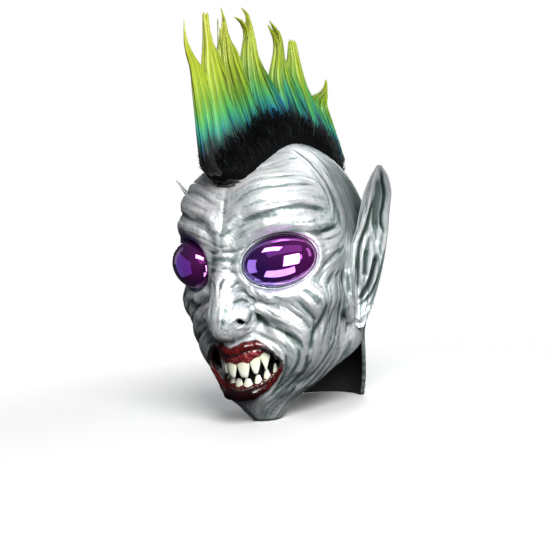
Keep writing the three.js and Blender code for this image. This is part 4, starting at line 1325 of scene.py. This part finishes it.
# centre lines (y, z) of the locks in each of the seven spikes, from the black roots to the tip
LOCKS = [
    [
        [(-131, 246), (-133, 269), (-134, 291), (-135, 313), (-136, 333), (-142, 352), (-140, 375)],
        [(-118, 250), (-124, 273), (-124, 295), (-127, 318), (-132, 340), (-139, 353), (-140, 368)],
        [(-102, 253), (-110, 277), (-116, 300), (-121, 318), (-127, 333), (-136, 347), (-141, 360)],
        [(-85, 257), (-93, 276), (-103, 296), (-112, 313), (-119, 326), (-129, 340), (-138, 353)],
        [(-127, 243), (-130, 264), (-130, 286), (-131, 309), (-133, 329), (-139, 347), (-141, 364)],
    ],
    [
        [(-112, 258), (-112, 286), (-113, 308), (-114, 331), (-110, 354), (-109, 381)],
        [(-96, 259), (-100, 285), (-104, 308), (-106, 331), (-108, 351), (-104, 381)],
        [(-79, 261), (-85, 285), (-93, 308), (-98, 333), (-102, 354), (-104, 374)],
        [(-63, 263), (-72, 284), (-81, 308), (-89, 329), (-97, 347), (-103, 362)],
    ],
    [
        [(-75, 261), (-80, 289), (-85, 317), (-87, 340), (-84, 358), (-78, 375), (-81, 388)],
        [(-58, 263), (-66, 292), (-73, 317), (-78, 340), (-78, 359), (-78, 375), (-80, 387)],
        [(-40, 266), (-51, 291), (-59, 314), (-67, 335), (-72, 354), (-76, 370)],
        [(-33, 269), (-46, 293), (-54, 312), (-60, 331), (-65, 348), (-73, 360)],
        [(-74, 284), (-81, 312), (-86, 336), (-88, 354), (-88, 378)],
    ],
    [
        [(-39, 272), (-47, 298), (-50, 321), (-47, 345), (-42, 364), (-50, 376), (-61, 380)],
        [(-25, 273), (-35, 297), (-41, 321), (-42, 345), (-39, 367), (-38, 382), (-48, 389)],
        [(-9, 274), (-19, 297), (-30, 319), (-36, 340), (-36, 361), (-37, 378), (-45, 388)],
        [(5, 276), (-7, 297), (-20, 316), (-30, 335), (-36, 354), (-36, 370)],
        [(11, 276), (-0, 294), (-10, 311), (-21, 328), (-32, 344)],
    ],
    [
        [(4, 278), (1, 301), (-1, 323), (6, 345), (7, 359), (-5, 374)],
        [(19, 279), (12, 301), (6, 323), (10, 345), (12, 360), (9, 368), (-2, 378)],
        [(32, 279), (22, 299), (15, 321), (13, 340), (14, 358), (10, 368)],
        [(43, 276), (33, 296), (23, 316), (17, 335), (15, 355)],
    ],
    [
        [(41, 276), (34, 300), (28, 322), (31, 340), (32, 358)],
        [(52, 274), (44, 295), (38, 315), (36, 335), (36, 358)],
        [(61, 270), (53, 290), (46, 310), (42, 330), (41, 357)],
        [(69, 264), (61, 284), (53, 302), (48, 318), (43, 335)],
    ],
    [
        [(76, 259), (70, 277), (62, 292), (70, 301), (84, 306), (94, 313), (96, 320)],
        [(87, 253), (80, 271), (77, 287), (81, 298), (91, 307), (96, 317)],
        [(97, 242), (90, 260), (86, 279), (84, 294), (92, 306), (96, 315)],
        [(100, 237), (94, 256), (89, 273), (87, 289), (91, 301)],
    ],
]
# thin dyed strands that lie over the black roots: (x, y, z)
WISPS = [
    [(25, -82, 246), (22, -87, 257), (18, -91, 270), (13, -93, 282), (9, -98, 295)],
    [(22, -108, 249), (19, -110, 261), (15, -111, 275), (10, -113, 289)],
    [(21, -91, 256), (17, -95, 267), (12, -98, 281)],
    [(18, -119, 258), (15, -121, 269), (12, -124, 282), (8, -126, 296)],
    [(18, 5, 259), (14, -1, 271), (10, -7, 283)],
    [(8, 78, 244), (7, 71, 258), (6, 61, 273)],
    [(18, -61, 264), (14, -64, 275), (10, -68, 287)],
    [(20, -111, 245), (18, -114, 257), (14, -116, 269), (9, -117, 285)],
]
# where the dye ends and the black begins, along the crest
DYE = np.array([(-145, 250), (-131, 258), (-111, 265), (-89, 271), (-69, 277), (-50, 286), (-29, 289), (-7, 287), (20, 282), (43, 274), (64, 264), (82, 252), (100, 236)], float)
# the black base: root on the scalp (y), half width there, and its top (y, z)
MAT = np.array([(-94.5, 8, -107, 228), (-94.5, 14, -116, 232), (-94, 18, -122, 240), (-91, 21, -122, 252), (-84, 25, -110, 261), (-70, 28, -90, 270), (-53, 28, -68, 277), (-36, 28, -48, 286),
                (-15, 28, -27, 289), (8, 28, -2, 287), (32, 27, 24, 281), (50, 25, 50, 273), (63, 21, 76, 263), (72, 16, 93, 250), (78, 10, 99, 232)], float)


def scalp(y, x):
    """Height of the scalp over (x, y), by marching down onto the bare head."""
    z = np.full(len(y), 300.0)
    for _ in range(60):
        f = base(x, y, z)
        z = z - np.clip(f, -3, 8) * 0.8
    return z


def mat_station(u):
    """Rows of the black base at share u of the crest's length."""
    s = np.clip(u, 0, 1) * (len(MAT) - 1)
    i = np.minimum(s.astype(int), len(MAT) - 2)
    f = (s - i)[..., None]
    p0, p1, p2, p3 = MAT[np.maximum(i - 1, 0)], MAT[i], MAT[i + 1], MAT[np.minimum(i + 2, len(MAT) - 1)]
    return 0.5 * (2 * p1 + (p2 - p0) * f + (2 * p0 - 5 * p1 + 4 * p2 - p3) * f**2 + (3 * p1 - p0 - 3 * p2 + p3) * f**3)


def mat_point(u, q, grow=0.86):
    """A point on the black base: u along the crest, q the angle across it, 0 at the left root and pi at the right one."""
    r = mat_station(u)
    x = r[..., 1] * np.cos(q) * (1 + 0.05 * np.sin(q))
    zb = scalp(r[..., 0].ravel(), x.ravel()).reshape(x.shape)
    zc = scalp(r[..., 0].ravel(), np.zeros(x.size)).reshape(x.shape)
    h = np.maximum(np.sin(q), 0.0) ** 0.9 * grow
    return np.stack([x, r[..., 0] + (r[..., 2] - r[..., 0]) * h, zb + (r[..., 3] - zc) * h], -1)


def ribbons(paths, radii, m=3):
    """Tubes through many paths of the same length: paths (k, n, 3), radii (k, n)."""
    k, n, _ = paths.shape
    t = np.gradient(paths, axis=1)
    t /= np.linalg.norm(t, axis=2, keepdims=True) + 1e-9
    ref = np.zeros_like(t)
    ref[..., 0] = 1
    a = np.cross(t, ref)
    a /= np.linalg.norm(a, axis=2, keepdims=True) + 1e-9
    b = np.cross(t, a)
    q = np.linspace(0, 2 * math.pi, m, endpoint=False)
    v = paths[:, :, None, :] + radii[:, :, None, None] * (np.cos(q)[None, None, :, None] * a[:, :, None, :] + np.sin(q)[None, None, :, None] * b[:, :, None, :])
    tip = paths[:, -1] + t[:, -1] * radii[:, -1:] * 2
    base_v = v.reshape(k, n * m, 3)
    verts = np.concatenate([base_v, tip[:, None], paths[:, :1]], 1).reshape(-1, 3)
    per = n * m + 2
    quads = tube_faces(n, m)
    tris = np.array([[(n - 1) * m + j, (n - 1) * m + (j + 1) % m, n * m] for j in range(m)])
    tris2 = np.array([[(j + 1) % m, j, n * m + 1] for j in range(m)])
    off = (np.arange(k) * per)[:, None, None]
    Q = (quads[None] + off).reshape(-1, 4)
    T = (np.concatenate([tris, tris2])[None] + off).reshape(-1, 3)
    return verts, Q, T, per


def mesh_mixed(name, v, quads, tris, attrs):
    me = bpy.data.meshes.new(name)
    co = to_m(v)
    nq, nt = len(quads), len(tris)
    me.vertices.add(len(co))
    me.vertices.foreach_set("co", co.astype(np.float32).ravel())
    me.loops.add(nq * 4 + nt * 3)
    me.loops.foreach_set("vertex_index", np.concatenate([quads.ravel(), tris.ravel()]).astype(np.int32))
    me.polygons.add(nq + nt)
    me.polygons.foreach_set("loop_start", np.concatenate([np.arange(nq) * 4, nq * 4 + np.arange(nt) * 3]).astype(np.int32))
    me.update(calc_edges=True)
    me.validate()
    me.polygons.foreach_set("use_smooth", np.ones(len(me.polygons), bool))
    for key, val in attrs.items():
        add_attr(me, key, val)
    obj = bpy.data.objects.new(name, me)
    COL.objects.link(obj)
    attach(obj, "head")
    return obj


def through(P, n):
    """Smooth curves through rows of points: P (k, m, d) becomes (k, n, d)."""
    m = P.shape[1] - 1
    s = np.linspace(0, m - 1e-6, n)
    i = s.astype(int)
    f = (s - i)[None, :, None]
    p0, p1, p2, p3 = P[:, np.maximum(i - 1, 0)], P[:, i], P[:, i + 1], P[:, np.minimum(i + 2, m)]
    return 0.5 * (2 * p1 + (p2 - p0) * f + (2 * p0 - 5 * p1 + 4 * p2 - p3) * f**2 + (3 * p1 - p0 - 3 * p2 + p3) * f**3)


def even(line, n):
    q = np.array(line, float)
    fine_ = through(q[None], 60)[0]
    c = np.r_[0, np.cumsum(np.linalg.norm(np.diff(fine_, axis=0), axis=1))]
    s = np.linspace(0, c[-1], n)
    return np.stack([np.interp(s, c, fine_[:, i]) for i in range(q.shape[1])], -1)


def lock(line, side, count, seed, blunt=0.0, wide=6.6, deep=6.0):
    """Strands of one lock: (k, n, 3) paths and their radii."""
    r = rng(seed)
    n = 17
    c = even(line, 24)
    k = count
    ang = r.uniform(0, 2 * math.pi, k)
    rad = np.sqrt(r.uniform(0, 1, k))
    oy, ox = np.cos(ang) * rad, np.sin(ang) * rad
    end = 1 - r.power(0.5, k) * 0.40 * (0.3 + 0.7 * rad) if not blunt else 1 - r.uniform(0, 0.012, k)
    end[: max(2, k // 5)] = 1 - r.uniform(0, 0.02, max(2, k // 5))
    S = np.linspace(0, 1, n - 4)[None] * end[:, None]
    f = S * 23
    i = np.minimum(f.astype(int), 22)
    g = (f - i)[..., None]
    p = c[i] * (1 - g) + c[i + 1] * g
    t = np.gradient(c, axis=0)
    t /= np.linalg.norm(t, axis=1)[:, None] + 1e-9
    tt = t[i] * (1 - g) + t[i + 1] * g
    shrink = (1 - S) ** 0.85
    R = blunt + (wide - blunt) * shrink + 0.35
    X = blunt * 0.8 + (deep - blunt) * shrink + 0.3
    wob = 0.55 * np.sin(S * 7 + r.uniform(0, 6.3, k)[:, None]) * np.sin(math.pi * np.clip(S, 0, 1)) * r.uniform(0.2, 1.5, k)[:, None]
    y = p[..., 0] + tt[..., 1] * (oy[:, None] * R + wob) + np.interp(p[..., 0], [-134, -105], [5.0, 0.0]) * shrink
    y = np.where(y > 91, 91 + (y - 91) * 0.55, y)  # the rear end stays within the crest
    z = p[..., 1] - tt[..., 0] * (oy[:, None] * R + wob)
    slim = np.interp(y, [-134, -122, -95], [0.28, 0.55, 1.0])
    x = (side * 6.2 * shrink + ox[:, None] * X + 0.5 * wob) * slim
    P = np.stack([x, y, z], -1)
    # root, on the scalp under the black base
    y0 = -97 + (c[0, 0] + 131) * (168 / 231) + oy * 5
    y0 = np.clip(y0, -97.5, 74)
    x0 = np.clip(side * 8 + ox * 8, -17, 17)
    root = np.stack([x0, y0, scalp(y0, x0) + 0.6], -1)
    rest = P[:, 0] - root
    a = root + rest * np.array([1.1, 0.30, 0.42])
    b = root + rest * np.array([1.1, 0.72, 0.74])
    full = np.concatenate([root[:, None], a[:, None], b[:, None], P], 1)
    full = through(full, n)
    s = np.linspace(0, 1, n)[None]
    th = r.uniform(0.30, 0.62, k)[:, None] * (1 - 0.62 * s**3) * (1.0 if not blunt else 1.1)
    return full, th, r.uniform(0, 1, k)


def dye_height(v):
    return v[:, 2] - np.interp(v[:, 1], DYE[:, 0], DYE[:, 1])


def hair():
    r = rng(41)
    for i, group in enumerate(LOCKS):
        V, Q, T, A, off = [], [], [], [], 0

        def put(P, th, rnd, lockno, m):
            nonlocal off
            v, q, t, per = ribbons(P, th, m)
            lk = np.repeat(lockno, per)
            rn = np.repeat(rnd, per)
            d = dye_height(v)
            # each lock has its own dye line, and each strand strays a little from it
            shift = np.interp(v[:, 1], [-140, -118, -60, 100], [-9, -5, 0, 0])
            V.append(v)
            Q.append(q + off)
            T.append(t + off)
            A.append(np.stack([(d + shift + (rn - 0.5) * 13 + (lk - 0.5) * 17 + 20) / 120, rn, lk, (v[:, 1] + 145) / 240], -1))
            off += len(v)

        for j, line in enumerate(group):
            blunt = 1.5 if (i in (1, 5) and j < (2 if i == 1 else 3)) else 0.0
            wisp = i == 2 and j == 4
            number = r.uniform(0, 1)
            for side in (-1, 1):
                count = (34) if not wisp else 5
                P, th, rnd = lock(line, side, count, 700 + i * 40 + j * 4 + side, blunt, 6.6 if not wisp else 1.2, 6.0 if not wisp else 1.0)
                put(P, th, rnd, np.full(len(rnd), np.clip(number + 0.12 * side, 0, 1)), 3)
                if not wisp:
                    # the gelled core of the lock
                    c = even(line, 14)
                    s = np.linspace(0, 1, 14)
                    y0 = np.clip(-97 + (c[0, 0] + 131) * (168 / 231), -95, 72)
                    z0 = scalp(np.array([y0]), np.array([side * 8.0]))[0] + 2
                    slim = np.interp(c[:, 0], [-134, -122, -95], [0.28, 0.55, 1.0])
                    P = np.stack([side * 5.5 * (1 - s) ** 0.85 * slim, c[:, 0] + np.interp(c[:, 0], [-134, -105], [5.0, 0.0]) * (1 - s), c[:, 1]], -1)
                    low = np.array([side * 8.0, y0, z0])
                    mid = low + (P[0] - low) * np.array([0.8, 0.6, 0.62])
                    P = np.concatenate([low[None], mid[None], P])[None]
                    rr = np.r_[5.0, 5.0, 5.0 * (1 - s) ** 0.9 + (blunt * 0.9 if blunt else 0.25)][None]
                    put(P, rr, np.array([r.uniform(0.3, 0.6)]), np.array([number]), 9)
        if i == 0:
            for w, line in enumerate(WISPS):
                for side in (-1, 1):
                    c = np.array(line, float) * np.array([side, 1, 1])
                if side < 0 and c[:, 1].min() < -104:
                    continue
                    k = 12
                    q = np.repeat(c[None], k, 0)
                    spread = np.linspace(0.25, 2.2, len(c))[None, :, None]
                    q = q + r.normal(0, 1, (k, 1, 3)) * spread * np.array([0.5, 1, 0.4])
                    P = through(q, 12)
                    th = r.uniform(0.32, 0.55, k)[:, None] * np.sin(np.linspace(0.25, 2.4, 12))[None]
                    v, qq, t, per = ribbons(P, th, 3)
                    rn = np.repeat(r.uniform(0, 1, k), per)
                    tt = np.repeat(np.tile(np.linspace(0, 1, 12), 1), 3)
                    along = np.concatenate([tt, [1.0, 0.0]])
                    V.append(v)
                    Q.append(qq + off)
                    T.append(t + off)
                    A.append(np.stack([0.20 + 0.16 * np.tile(along, k) + 0.05 * (rn - 0.5), rn, np.full(len(v), 0.4), (v[:, 1] + 145) / 240], -1))
                    off += len(v)
        v = np.concatenate(V)
        obj = mesh_mixed(f"hair_tuft_{i + 1}_fibres", v, np.concatenate(Q), np.concatenate(T), {"hair": np.concatenate(A)})
        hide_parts(f"hair_tuft_{i + 1}")
        give(obj, HAIR_MAT)


def hair_material():
    g = Nodes("dyed_fibre")
    a = g.attr("hair")
    sep = g.put("ShaderNodeSeparateColor", {0: a.outputs["Color"]})
    co = g.coord()
    n = g.noise(30, 3, 0.6, co)
    t = g.math("ADD", sep.outputs[0], g.math("MULTIPLY", g.math("SUBTRACT", n, 0.5), 0.16))
    k = 1 / 120
    green = g.ramp(t, [(14 * k, (0.0015, 0.002, 0.003)), (24 * k, (0.004, 0.045, 0.038)), (34 * k, (0.014, 0.20, 0.13)), (46 * k, (0.055, 0.30, 0.060)), (58 * k, (0.125, 0.27, 0.016)), (78 * k, (0.25, 0.34, 0.009)), (1.0, (0.31, 0.345, 0.013))])
    blue = g.ramp(t, [(14 * k, (0.0015, 0.002, 0.004)), (24 * k, (0.004, 0.040, 0.10)), (36 * k, (0.006, 0.13, 0.34)), (48 * k, (0.012, 0.26, 0.22)), (60 * k, (0.055, 0.23, 0.028)), (80 * k, (0.235, 0.335, 0.010)), (1.0, (0.31, 0.345, 0.015))])
    pick = g.span(g.math("ADD", sep.outputs[1], g.math("MULTIPLY", g.math("SUBTRACT", n, 0.5), 0.9)), 0.56, 0.74)
    col = g.mix(pick, green, blue)
    dark = g.span(sep.outputs[1], 0.0, 0.13, 0.75, 0.0)
    col = g.mix(dark, col, (0.012, 0.045, 0.012))
    return g.out(Base_Color=col, Roughness=0.42, Specular_IOR_Level=0.35, Sheen_Weight=0.10, Coat_Weight=0.10, Coat_Roughness=0.35)


HAIR_MAT = hair_material()
hair()


def dark_hair():
    """Short black fibres all over the base, lying up and forwards with it."""
    r = rng(77)
    k = 4200
    u = r.uniform(0, 1, k)
    u[: k // 5] = r.uniform(0, 0.22, k // 5)
    q = np.arccos(np.clip(r.uniform(-1.0, 1.0, k), -1, 1))
    a = mat_point(u, q, 0.80)
    b = mat_point(u, np.pi / 2 + (q - np.pi / 2) * 0.86, 1.0)
    st = mat_station(u)
    up = np.stack([np.zeros(k), st[:, 2] - st[:, 0], st[:, 3] - scalp(st[:, 0], np.zeros(k))], -1)
    up /= np.linalg.norm(up, axis=1)[:, None]
    tame = np.clip((0.14 - u) / 0.14, 0, 1)[:, None]
    up = up * (1 - tame) + np.array([0, 0.25, 0.95]) * tame
    out = np.stack([np.cos(q), np.zeros(k), np.zeros(k)], -1)
    front = np.clip((0.32 - u) / 0.18, 0, 1)
    L = r.uniform(8, 17, k) * (1 - 0.48 * front)
    d = up + out * ((0.32 + 0.25 * r.uniform(0, 1, k)) * (1 - 0.75 * front))[:, None] + r.normal(0, 0.14, (k, 3)) * (1 - 0.6 * front)[:, None] + np.array([0, 0.25, 0.15]) * front[:, None]
    d /= np.linalg.norm(d, axis=1)[:, None]
    p0 = a - out * (1.5 + 0.3 * front)[:, None]
    p1 = p0 + d * (L * 0.5)[:, None] + out * (0.6 * (1 - front))[:, None]
    p2 = p0 + d * (L * 0.85)[:, None] + up * (L * 0.15)[:, None]
    P = through(np.stack([p0, p1, p2], 1), 7)
    s = np.linspace(0, 1, 7)[None]
    th = r.uniform(0.34, 0.60, k)[:, None] * (1 - 0.65 * s**2)
    v, qd, t, per = ribbons(P, th, 3)
    rnd = np.repeat(r.uniform(0, 1, k), per)
    obj = mesh_mixed("hair_undercoat_fibres", v, qd, t, {"hair": np.stack([(v[:, 2] - 225) / 165, rnd, rnd, (v[:, 1] + 145) / 240], -1)})
    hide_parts("hair_undercoat")
    g = Nodes("black_fibre")
    att = g.attr("hair")
    sep = g.put("ShaderNodeSeparateColor", {0: att.outputs["Color"]})
    col = g.ramp(sep.outputs[1], [(0.0, (0.0012, 0.0014, 0.0016)), (0.80, (0.0025, 0.003, 0.0035)), (0.94, (0.008, 0.012, 0.016)), (1.0, (0.05, 0.06, 0.065))])
    give(obj, g.out(Base_Color=col, Roughness=0.5, Specular_IOR_Level=0.22))
    return obj


dark_hair()


def pad():
    """The dense mat that the black fibres stand in, so that no scalp shows through."""
    n, m = 90, 27
    u = np.linspace(0, 1, n)
    rows = [mat_point(u, np.full(n, math.pi * j / (m - 1)), 0.84) for j in range(m)]
    for j in range(7, 0, -1):
        x = mat_station(u)[:, 1] * math.cos(math.pi * (1 - j / 8))
        y = mat_station(u)[:, 0]
        rows.append(np.stack([x, y, scalp(y, x) - 1.0], -1))
    v = np.stack(rows, 1)
    k = v.shape[1]
    vv = v.reshape(-1, 3)
    vv = vv + np.stack([noise3(vv, 3.1, 9), noise3(vv, 3.1, 10), noise3(vv, 2.7, 11)], -1) * 0.45
    f = [tuple(a) for a in tube_faces(n, k)]
    nn = len(vv)
    vv = np.concatenate([vv, v[0].mean(0)[None], v[-1].mean(0)[None]])
    for j in range(k):
        f.append((nn, (j + 1) % k, j))
        f.append((nn + 1, (n - 1) * k + j, (n - 1) * k + (j + 1) % k))
    obj = mesh_object("hair_mat", vv, f)
    orient(obj)
    g = Nodes("black_mat")
    co = g.coord()
    st = g.put("ShaderNodeMapping", {"Vector": co, "Scale": (900.0, 900.0, 120.0)})
    nz = g.noise(1.0, 3, 0.6, st.outputs[0])
    give(obj, g.out(Base_Color=g.mix(g.span(nz, 0.3, 0.7), (0.001, 0.0012, 0.0014), (0.003, 0.0034, 0.004)), Roughness=0.85, Specular_IOR_Level=0.05, Normal=g.bump(nz, 0.8, 0.001)))
    return obj


pad()


def strip():
    """Woven band that the hair is sewn to, following the scalp, with a stitched edge."""
    n = 160
    ang = np.radians(np.linspace(40, 138, n))
    prof = [(-9, 1.6), (-8.6, 2.7), (-7.6, 3.0), (-3, 2.75), (0, 2.7), (3, 2.75), (7.6, 3.0), (8.6, 2.7), (9, 1.6), (7.5, 1.3), (0, 1.2), (-7.5, 1.3)]
    rows = []
    for x, hgt in prof:
        b = math.asin(x / 100)
        d = np.stack([np.full(n, math.sin(b)), -np.cos(ang) * math.cos(b), np.sin(ang) * math.cos(b)], -1)
        lo, hi = np.full(n, 20.0), np.full(n, 200.0)
        for _ in range(26):
            mid = (lo + hi) / 2
            p = PIVOT + d * mid[:, None]
            f = base(p[:, 0], p[:, 1], p[:, 2])
            lo = np.where(f < 0, mid, lo)
            hi = np.where(f < 0, hi, mid)
        rr = lo + hgt + (0.12 * np.sin(np.arange(n) * 1.4) if hgt > 2 else 0)
        rows.append(PIVOT + d * rr[:, None])
    v = np.stack(rows, 1)
    m = v.shape[1]
    vv = v.reshape(-1, 3)
    f = [tuple(a) for a in tube_faces(n, m)]
    k = len(vv)
    vv = np.concatenate([vv, v[0].mean(0)[None], v[-1].mean(0)[None]])
    for j in range(m):
        f.append((k, (j + 1) % m, j))
        f.append((k + 1, (n - 1) * m + j, (n - 1) * m + (j + 1) % m))
    obj = mesh_object("hair_strip_band", vv, f)
    orient(obj)
    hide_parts("hair_strip")
    g = Nodes("black_webbing")
    co = g.coord()
    w1 = g.put("ShaderNodeTexWave", {"Vector": co, "Scale": 260.0}, bands_direction="X").outputs[1]
    w2 = g.put("ShaderNodeTexWave", {"Vector": co, "Scale": 260.0}, bands_direction="DIAGONAL").outputs[1]
    wv = g.math("MULTIPLY", w1, w2)
    give(obj, g.out(Base_Color=g.mix(wv, (0.004, 0.004, 0.005), (0.022, 0.022, 0.025)), Roughness=0.85, Sheen_Weight=0.3, Normal=g.bump(wv, 0.6, 0.0005)))


strip()


# ------------------------------------------------------------------ light, floor and backdrop
def area(name, at, to, size, power, colour=(1, 1, 1), size_y=None, spread=None):
    light = bpy.data.lights.new(name, "AREA")
    light.shape = "RECTANGLE"
    light.size = size
    light.size_y = size_y or size
    light.energy = power
    light.color = colour
    if spread:
        light.spread = math.radians(spread)
    o = bpy.data.objects.new(name, light)
    COL.objects.link(o)
    o.location = Vector(at)
    o.rotation_euler = (Vector(to) - Vector(at)).to_track_quat("-Z", "Y").to_euler()
    return o


def polar(az, el, dist, about=(0, 0, 0.17)):
    a, e = math.radians(az), math.radians(el)
    return (about[0] + dist * math.sin(a) * math.cos(e), about[1] - dist * math.cos(a) * math.cos(e), about[2] + dist * math.sin(e))


MID = (0, 0, 0.17)
lights = [
    area("key", polar(46, 27, 1.5), MID, 0.75, 42, (1.0, 0.995, 0.98)),
    area("top", polar(50, 70, 1.5), MID, 0.6, 2.5, (0.95, 0.98, 1.0)),
    area("rim", polar(118, 12, 1.5), MID, 0.4, 1.2, (0.95, 0.98, 1.0), size_y=0.9),
    area("fill", polar(75, 2, 1.5), MID, 0.5, 2.0, (0.95, 0.98, 1.0)),
    area("edge", polar(-100, 15, 1.5), MID, 0.3, 0.25, (0.92, 0.97, 1.0), size_y=0.9),
    area("back", polar(185, 35, 1.6), MID, 0.8, 6.0, (0.95, 0.98, 1.0)),
    area("far_side", polar(-150, 12, 1.5), MID, 0.9, 13.0, (0.97, 0.99, 1.0)),
]
# softboxes and cards that only the mirrored lenses see
EYE_AT = Vector(to_m(eye_point(1, np.zeros(1), np.zeros(1), np.array([10.0]))[0]))


def from_eye(az, el, dist):
    return tuple(polar(az, el, dist, tuple(EYE_AT)))


panes = [
    area("window", from_eye(62, -2, 1.2), EYE_AT, 0.82, 40, (1.0, 0.99, 1.0), size_y=0.95),
    area("skylight", from_eye(2, 59, 1.2), EYE_AT, 0.80, 12, (1.0, 0.98, 1.0), size_y=0.36),
    area("low_card", from_eye(38, -52, 0.17), EYE_AT, 0.20, 0.36, (0.86, 1.0, 0.80), size_y=0.10),
    area("side_card", from_eye(-42, -4, 1.2), EYE_AT, 0.85, 6.5, (0.95, 0.90, 0.95), size_y=1.2),
]
panes.append(area("sky_card", from_eye(50, 48, 1.2), EYE_AT, 1.9, 1.9, (0.92, 0.62, 1.0), size_y=0.75))
FAR_AT = Vector(to_m(eye_point(-1, np.zeros(1), np.zeros(1), np.array([10.0]))[0]))
panes.append(area("blue_card", polar(-68, 0, 1.2, tuple(FAR_AT)), FAR_AT, 1.5, 2.6, (0.40, 0.34, 1.0), size_y=1.2))
far = bpy.data.collections.new("far_lens_only")
far.objects.link(LENSES[1])
near = bpy.data.collections.new("near_lens_only")
near.objects.link(LENSES[0])
only, skip = bpy.data.collections.new("lens_only"), bpy.data.collections.new("not_lens")
for o in LENSES:
    only.objects.link(o)
    skip.objects.link(o)
for c_ in skip.collection_objects:
    c_.light_linking.link_state = "EXCLUDE"
for o in panes:
    o.light_linking.receiver_collection = only
    o.visible_camera = False
panes[3].light_linking.receiver_collection = near
panes[5].light_linking.receiver_collection = far
for o in lights[:2]:
    o.light_linking.receiver_collection = skip


def world():
    w = bpy.data.worlds.new("studio")
    bpy.context.scene.world = w
    w.use_nodes = True
    t = w.node_tree
    t.nodes.clear()
    out = t.nodes.new("ShaderNodeOutputWorld")
    mix = t.nodes.new("ShaderNodeMixShader")
    path = t.nodes.new("ShaderNodeLightPath")
    white = t.nodes.new("ShaderNodeBackground")
    white.inputs[0].default_value = (1, 1, 1, 1)
    white.inputs[1].default_value = 1.0
    room = t.nodes.new("ShaderNodeBackground")
    room.inputs[1].default_value = 1.0
    geo = t.nodes.new("ShaderNodeTexCoord")
    sep = t.nodes.new("ShaderNodeSeparateXYZ")
    ramp = t.nodes.new("ShaderNodeValToRGB")
    e = ramp.color_ramp.elements
    e[0].position, e[0].color = 0.0, (0.018, 0.02, 0.022, 1)
    e[1].position, e[1].color = 1.0, (0.08, 0.084, 0.09, 1)
    m = t.nodes.new("ShaderNodeMapRange")
    m.inputs[1].default_value = -0.3
    m.inputs[2].default_value = 0.9
    t.links.new(geo.outputs["Generated"], sep.inputs[0])
    t.links.new(sep.outputs[2], m.inputs[0])
    t.links.new(m.outputs[0], ramp.inputs[0])
    t.links.new(ramp.outputs[0], room.inputs[0])
    t.links.new(path.outputs["Is Camera Ray"], mix.inputs[0])
    t.links.new(room.outputs[0], mix.inputs[1])
    t.links.new(white.outputs[0], mix.inputs[2])
    t.links.new(mix.outputs[0], out.inputs[0])


world()


def floor():
    n, rings = 96, [0.0, 0.12, 0.25, 0.4, 0.6, 0.85]
    v = [(0, 0, -0.0005)]
    for r in rings[1:]:
        v += [(r * math.cos(2 * math.pi * i / n), r * math.sin(2 * math.pi * i / n), -0.0005) for i in range(n)]
    f = [(0, 1 + i, 1 + (i + 1) % n) for i in range(n)]
    for k in range(len(rings) - 2):
        a = 1 + k * n
        f += [(a + i, a + n + i, a + n + (i + 1) % n, a + (i + 1) % n) for i in range(n)]
    me = bpy.data.meshes.new("floor")
    me.from_pydata(v, [], f)
    o = bpy.data.objects.new("floor", me)
    COL.objects.link(o)
    o.visible_diffuse = o.visible_glossy = False
    g = Nodes("floor_paper")
    sep = g.put("ShaderNodeSeparateXYZ", {0: g.coord()})
    rad = g.math("SQRT", g.math("ADD", g.math("MULTIPLY", sep.outputs[0], sep.outputs[0]), g.math("MULTIPLY", sep.outputs[1], sep.outputs[1])))
    fade = g.span(rad, 0.16, 0.42, 1.0, 0.0)
    g.out(Base_Color=(0.80, 0.80, 0.80), Roughness=0.9)
    tr = g.put("ShaderNodeBsdfTransparent")
    mx = g.put("ShaderNodeMixShader")
    g.set(mx, 0, fade)
    g.t.links.new(tr.outputs[0], mx.inputs[1])
    g.t.links.new(g.bsdf.outputs[0], mx.inputs[2])
    out = next(n_ for n_ in g.t.nodes if n_.type == "OUTPUT_MATERIAL")
    g.t.links.new(mx.outputs[0], out.inputs[0])
    give(o, g.mat)


floor()
sc = bpy.context.scene
sc.view_settings.view_transform = "Standard"
sc.view_settings.look = "None"
sc.view_settings.exposure = 0.0
sc.view_settings.gamma = 1.0


def write_size():
    import json


write_size()
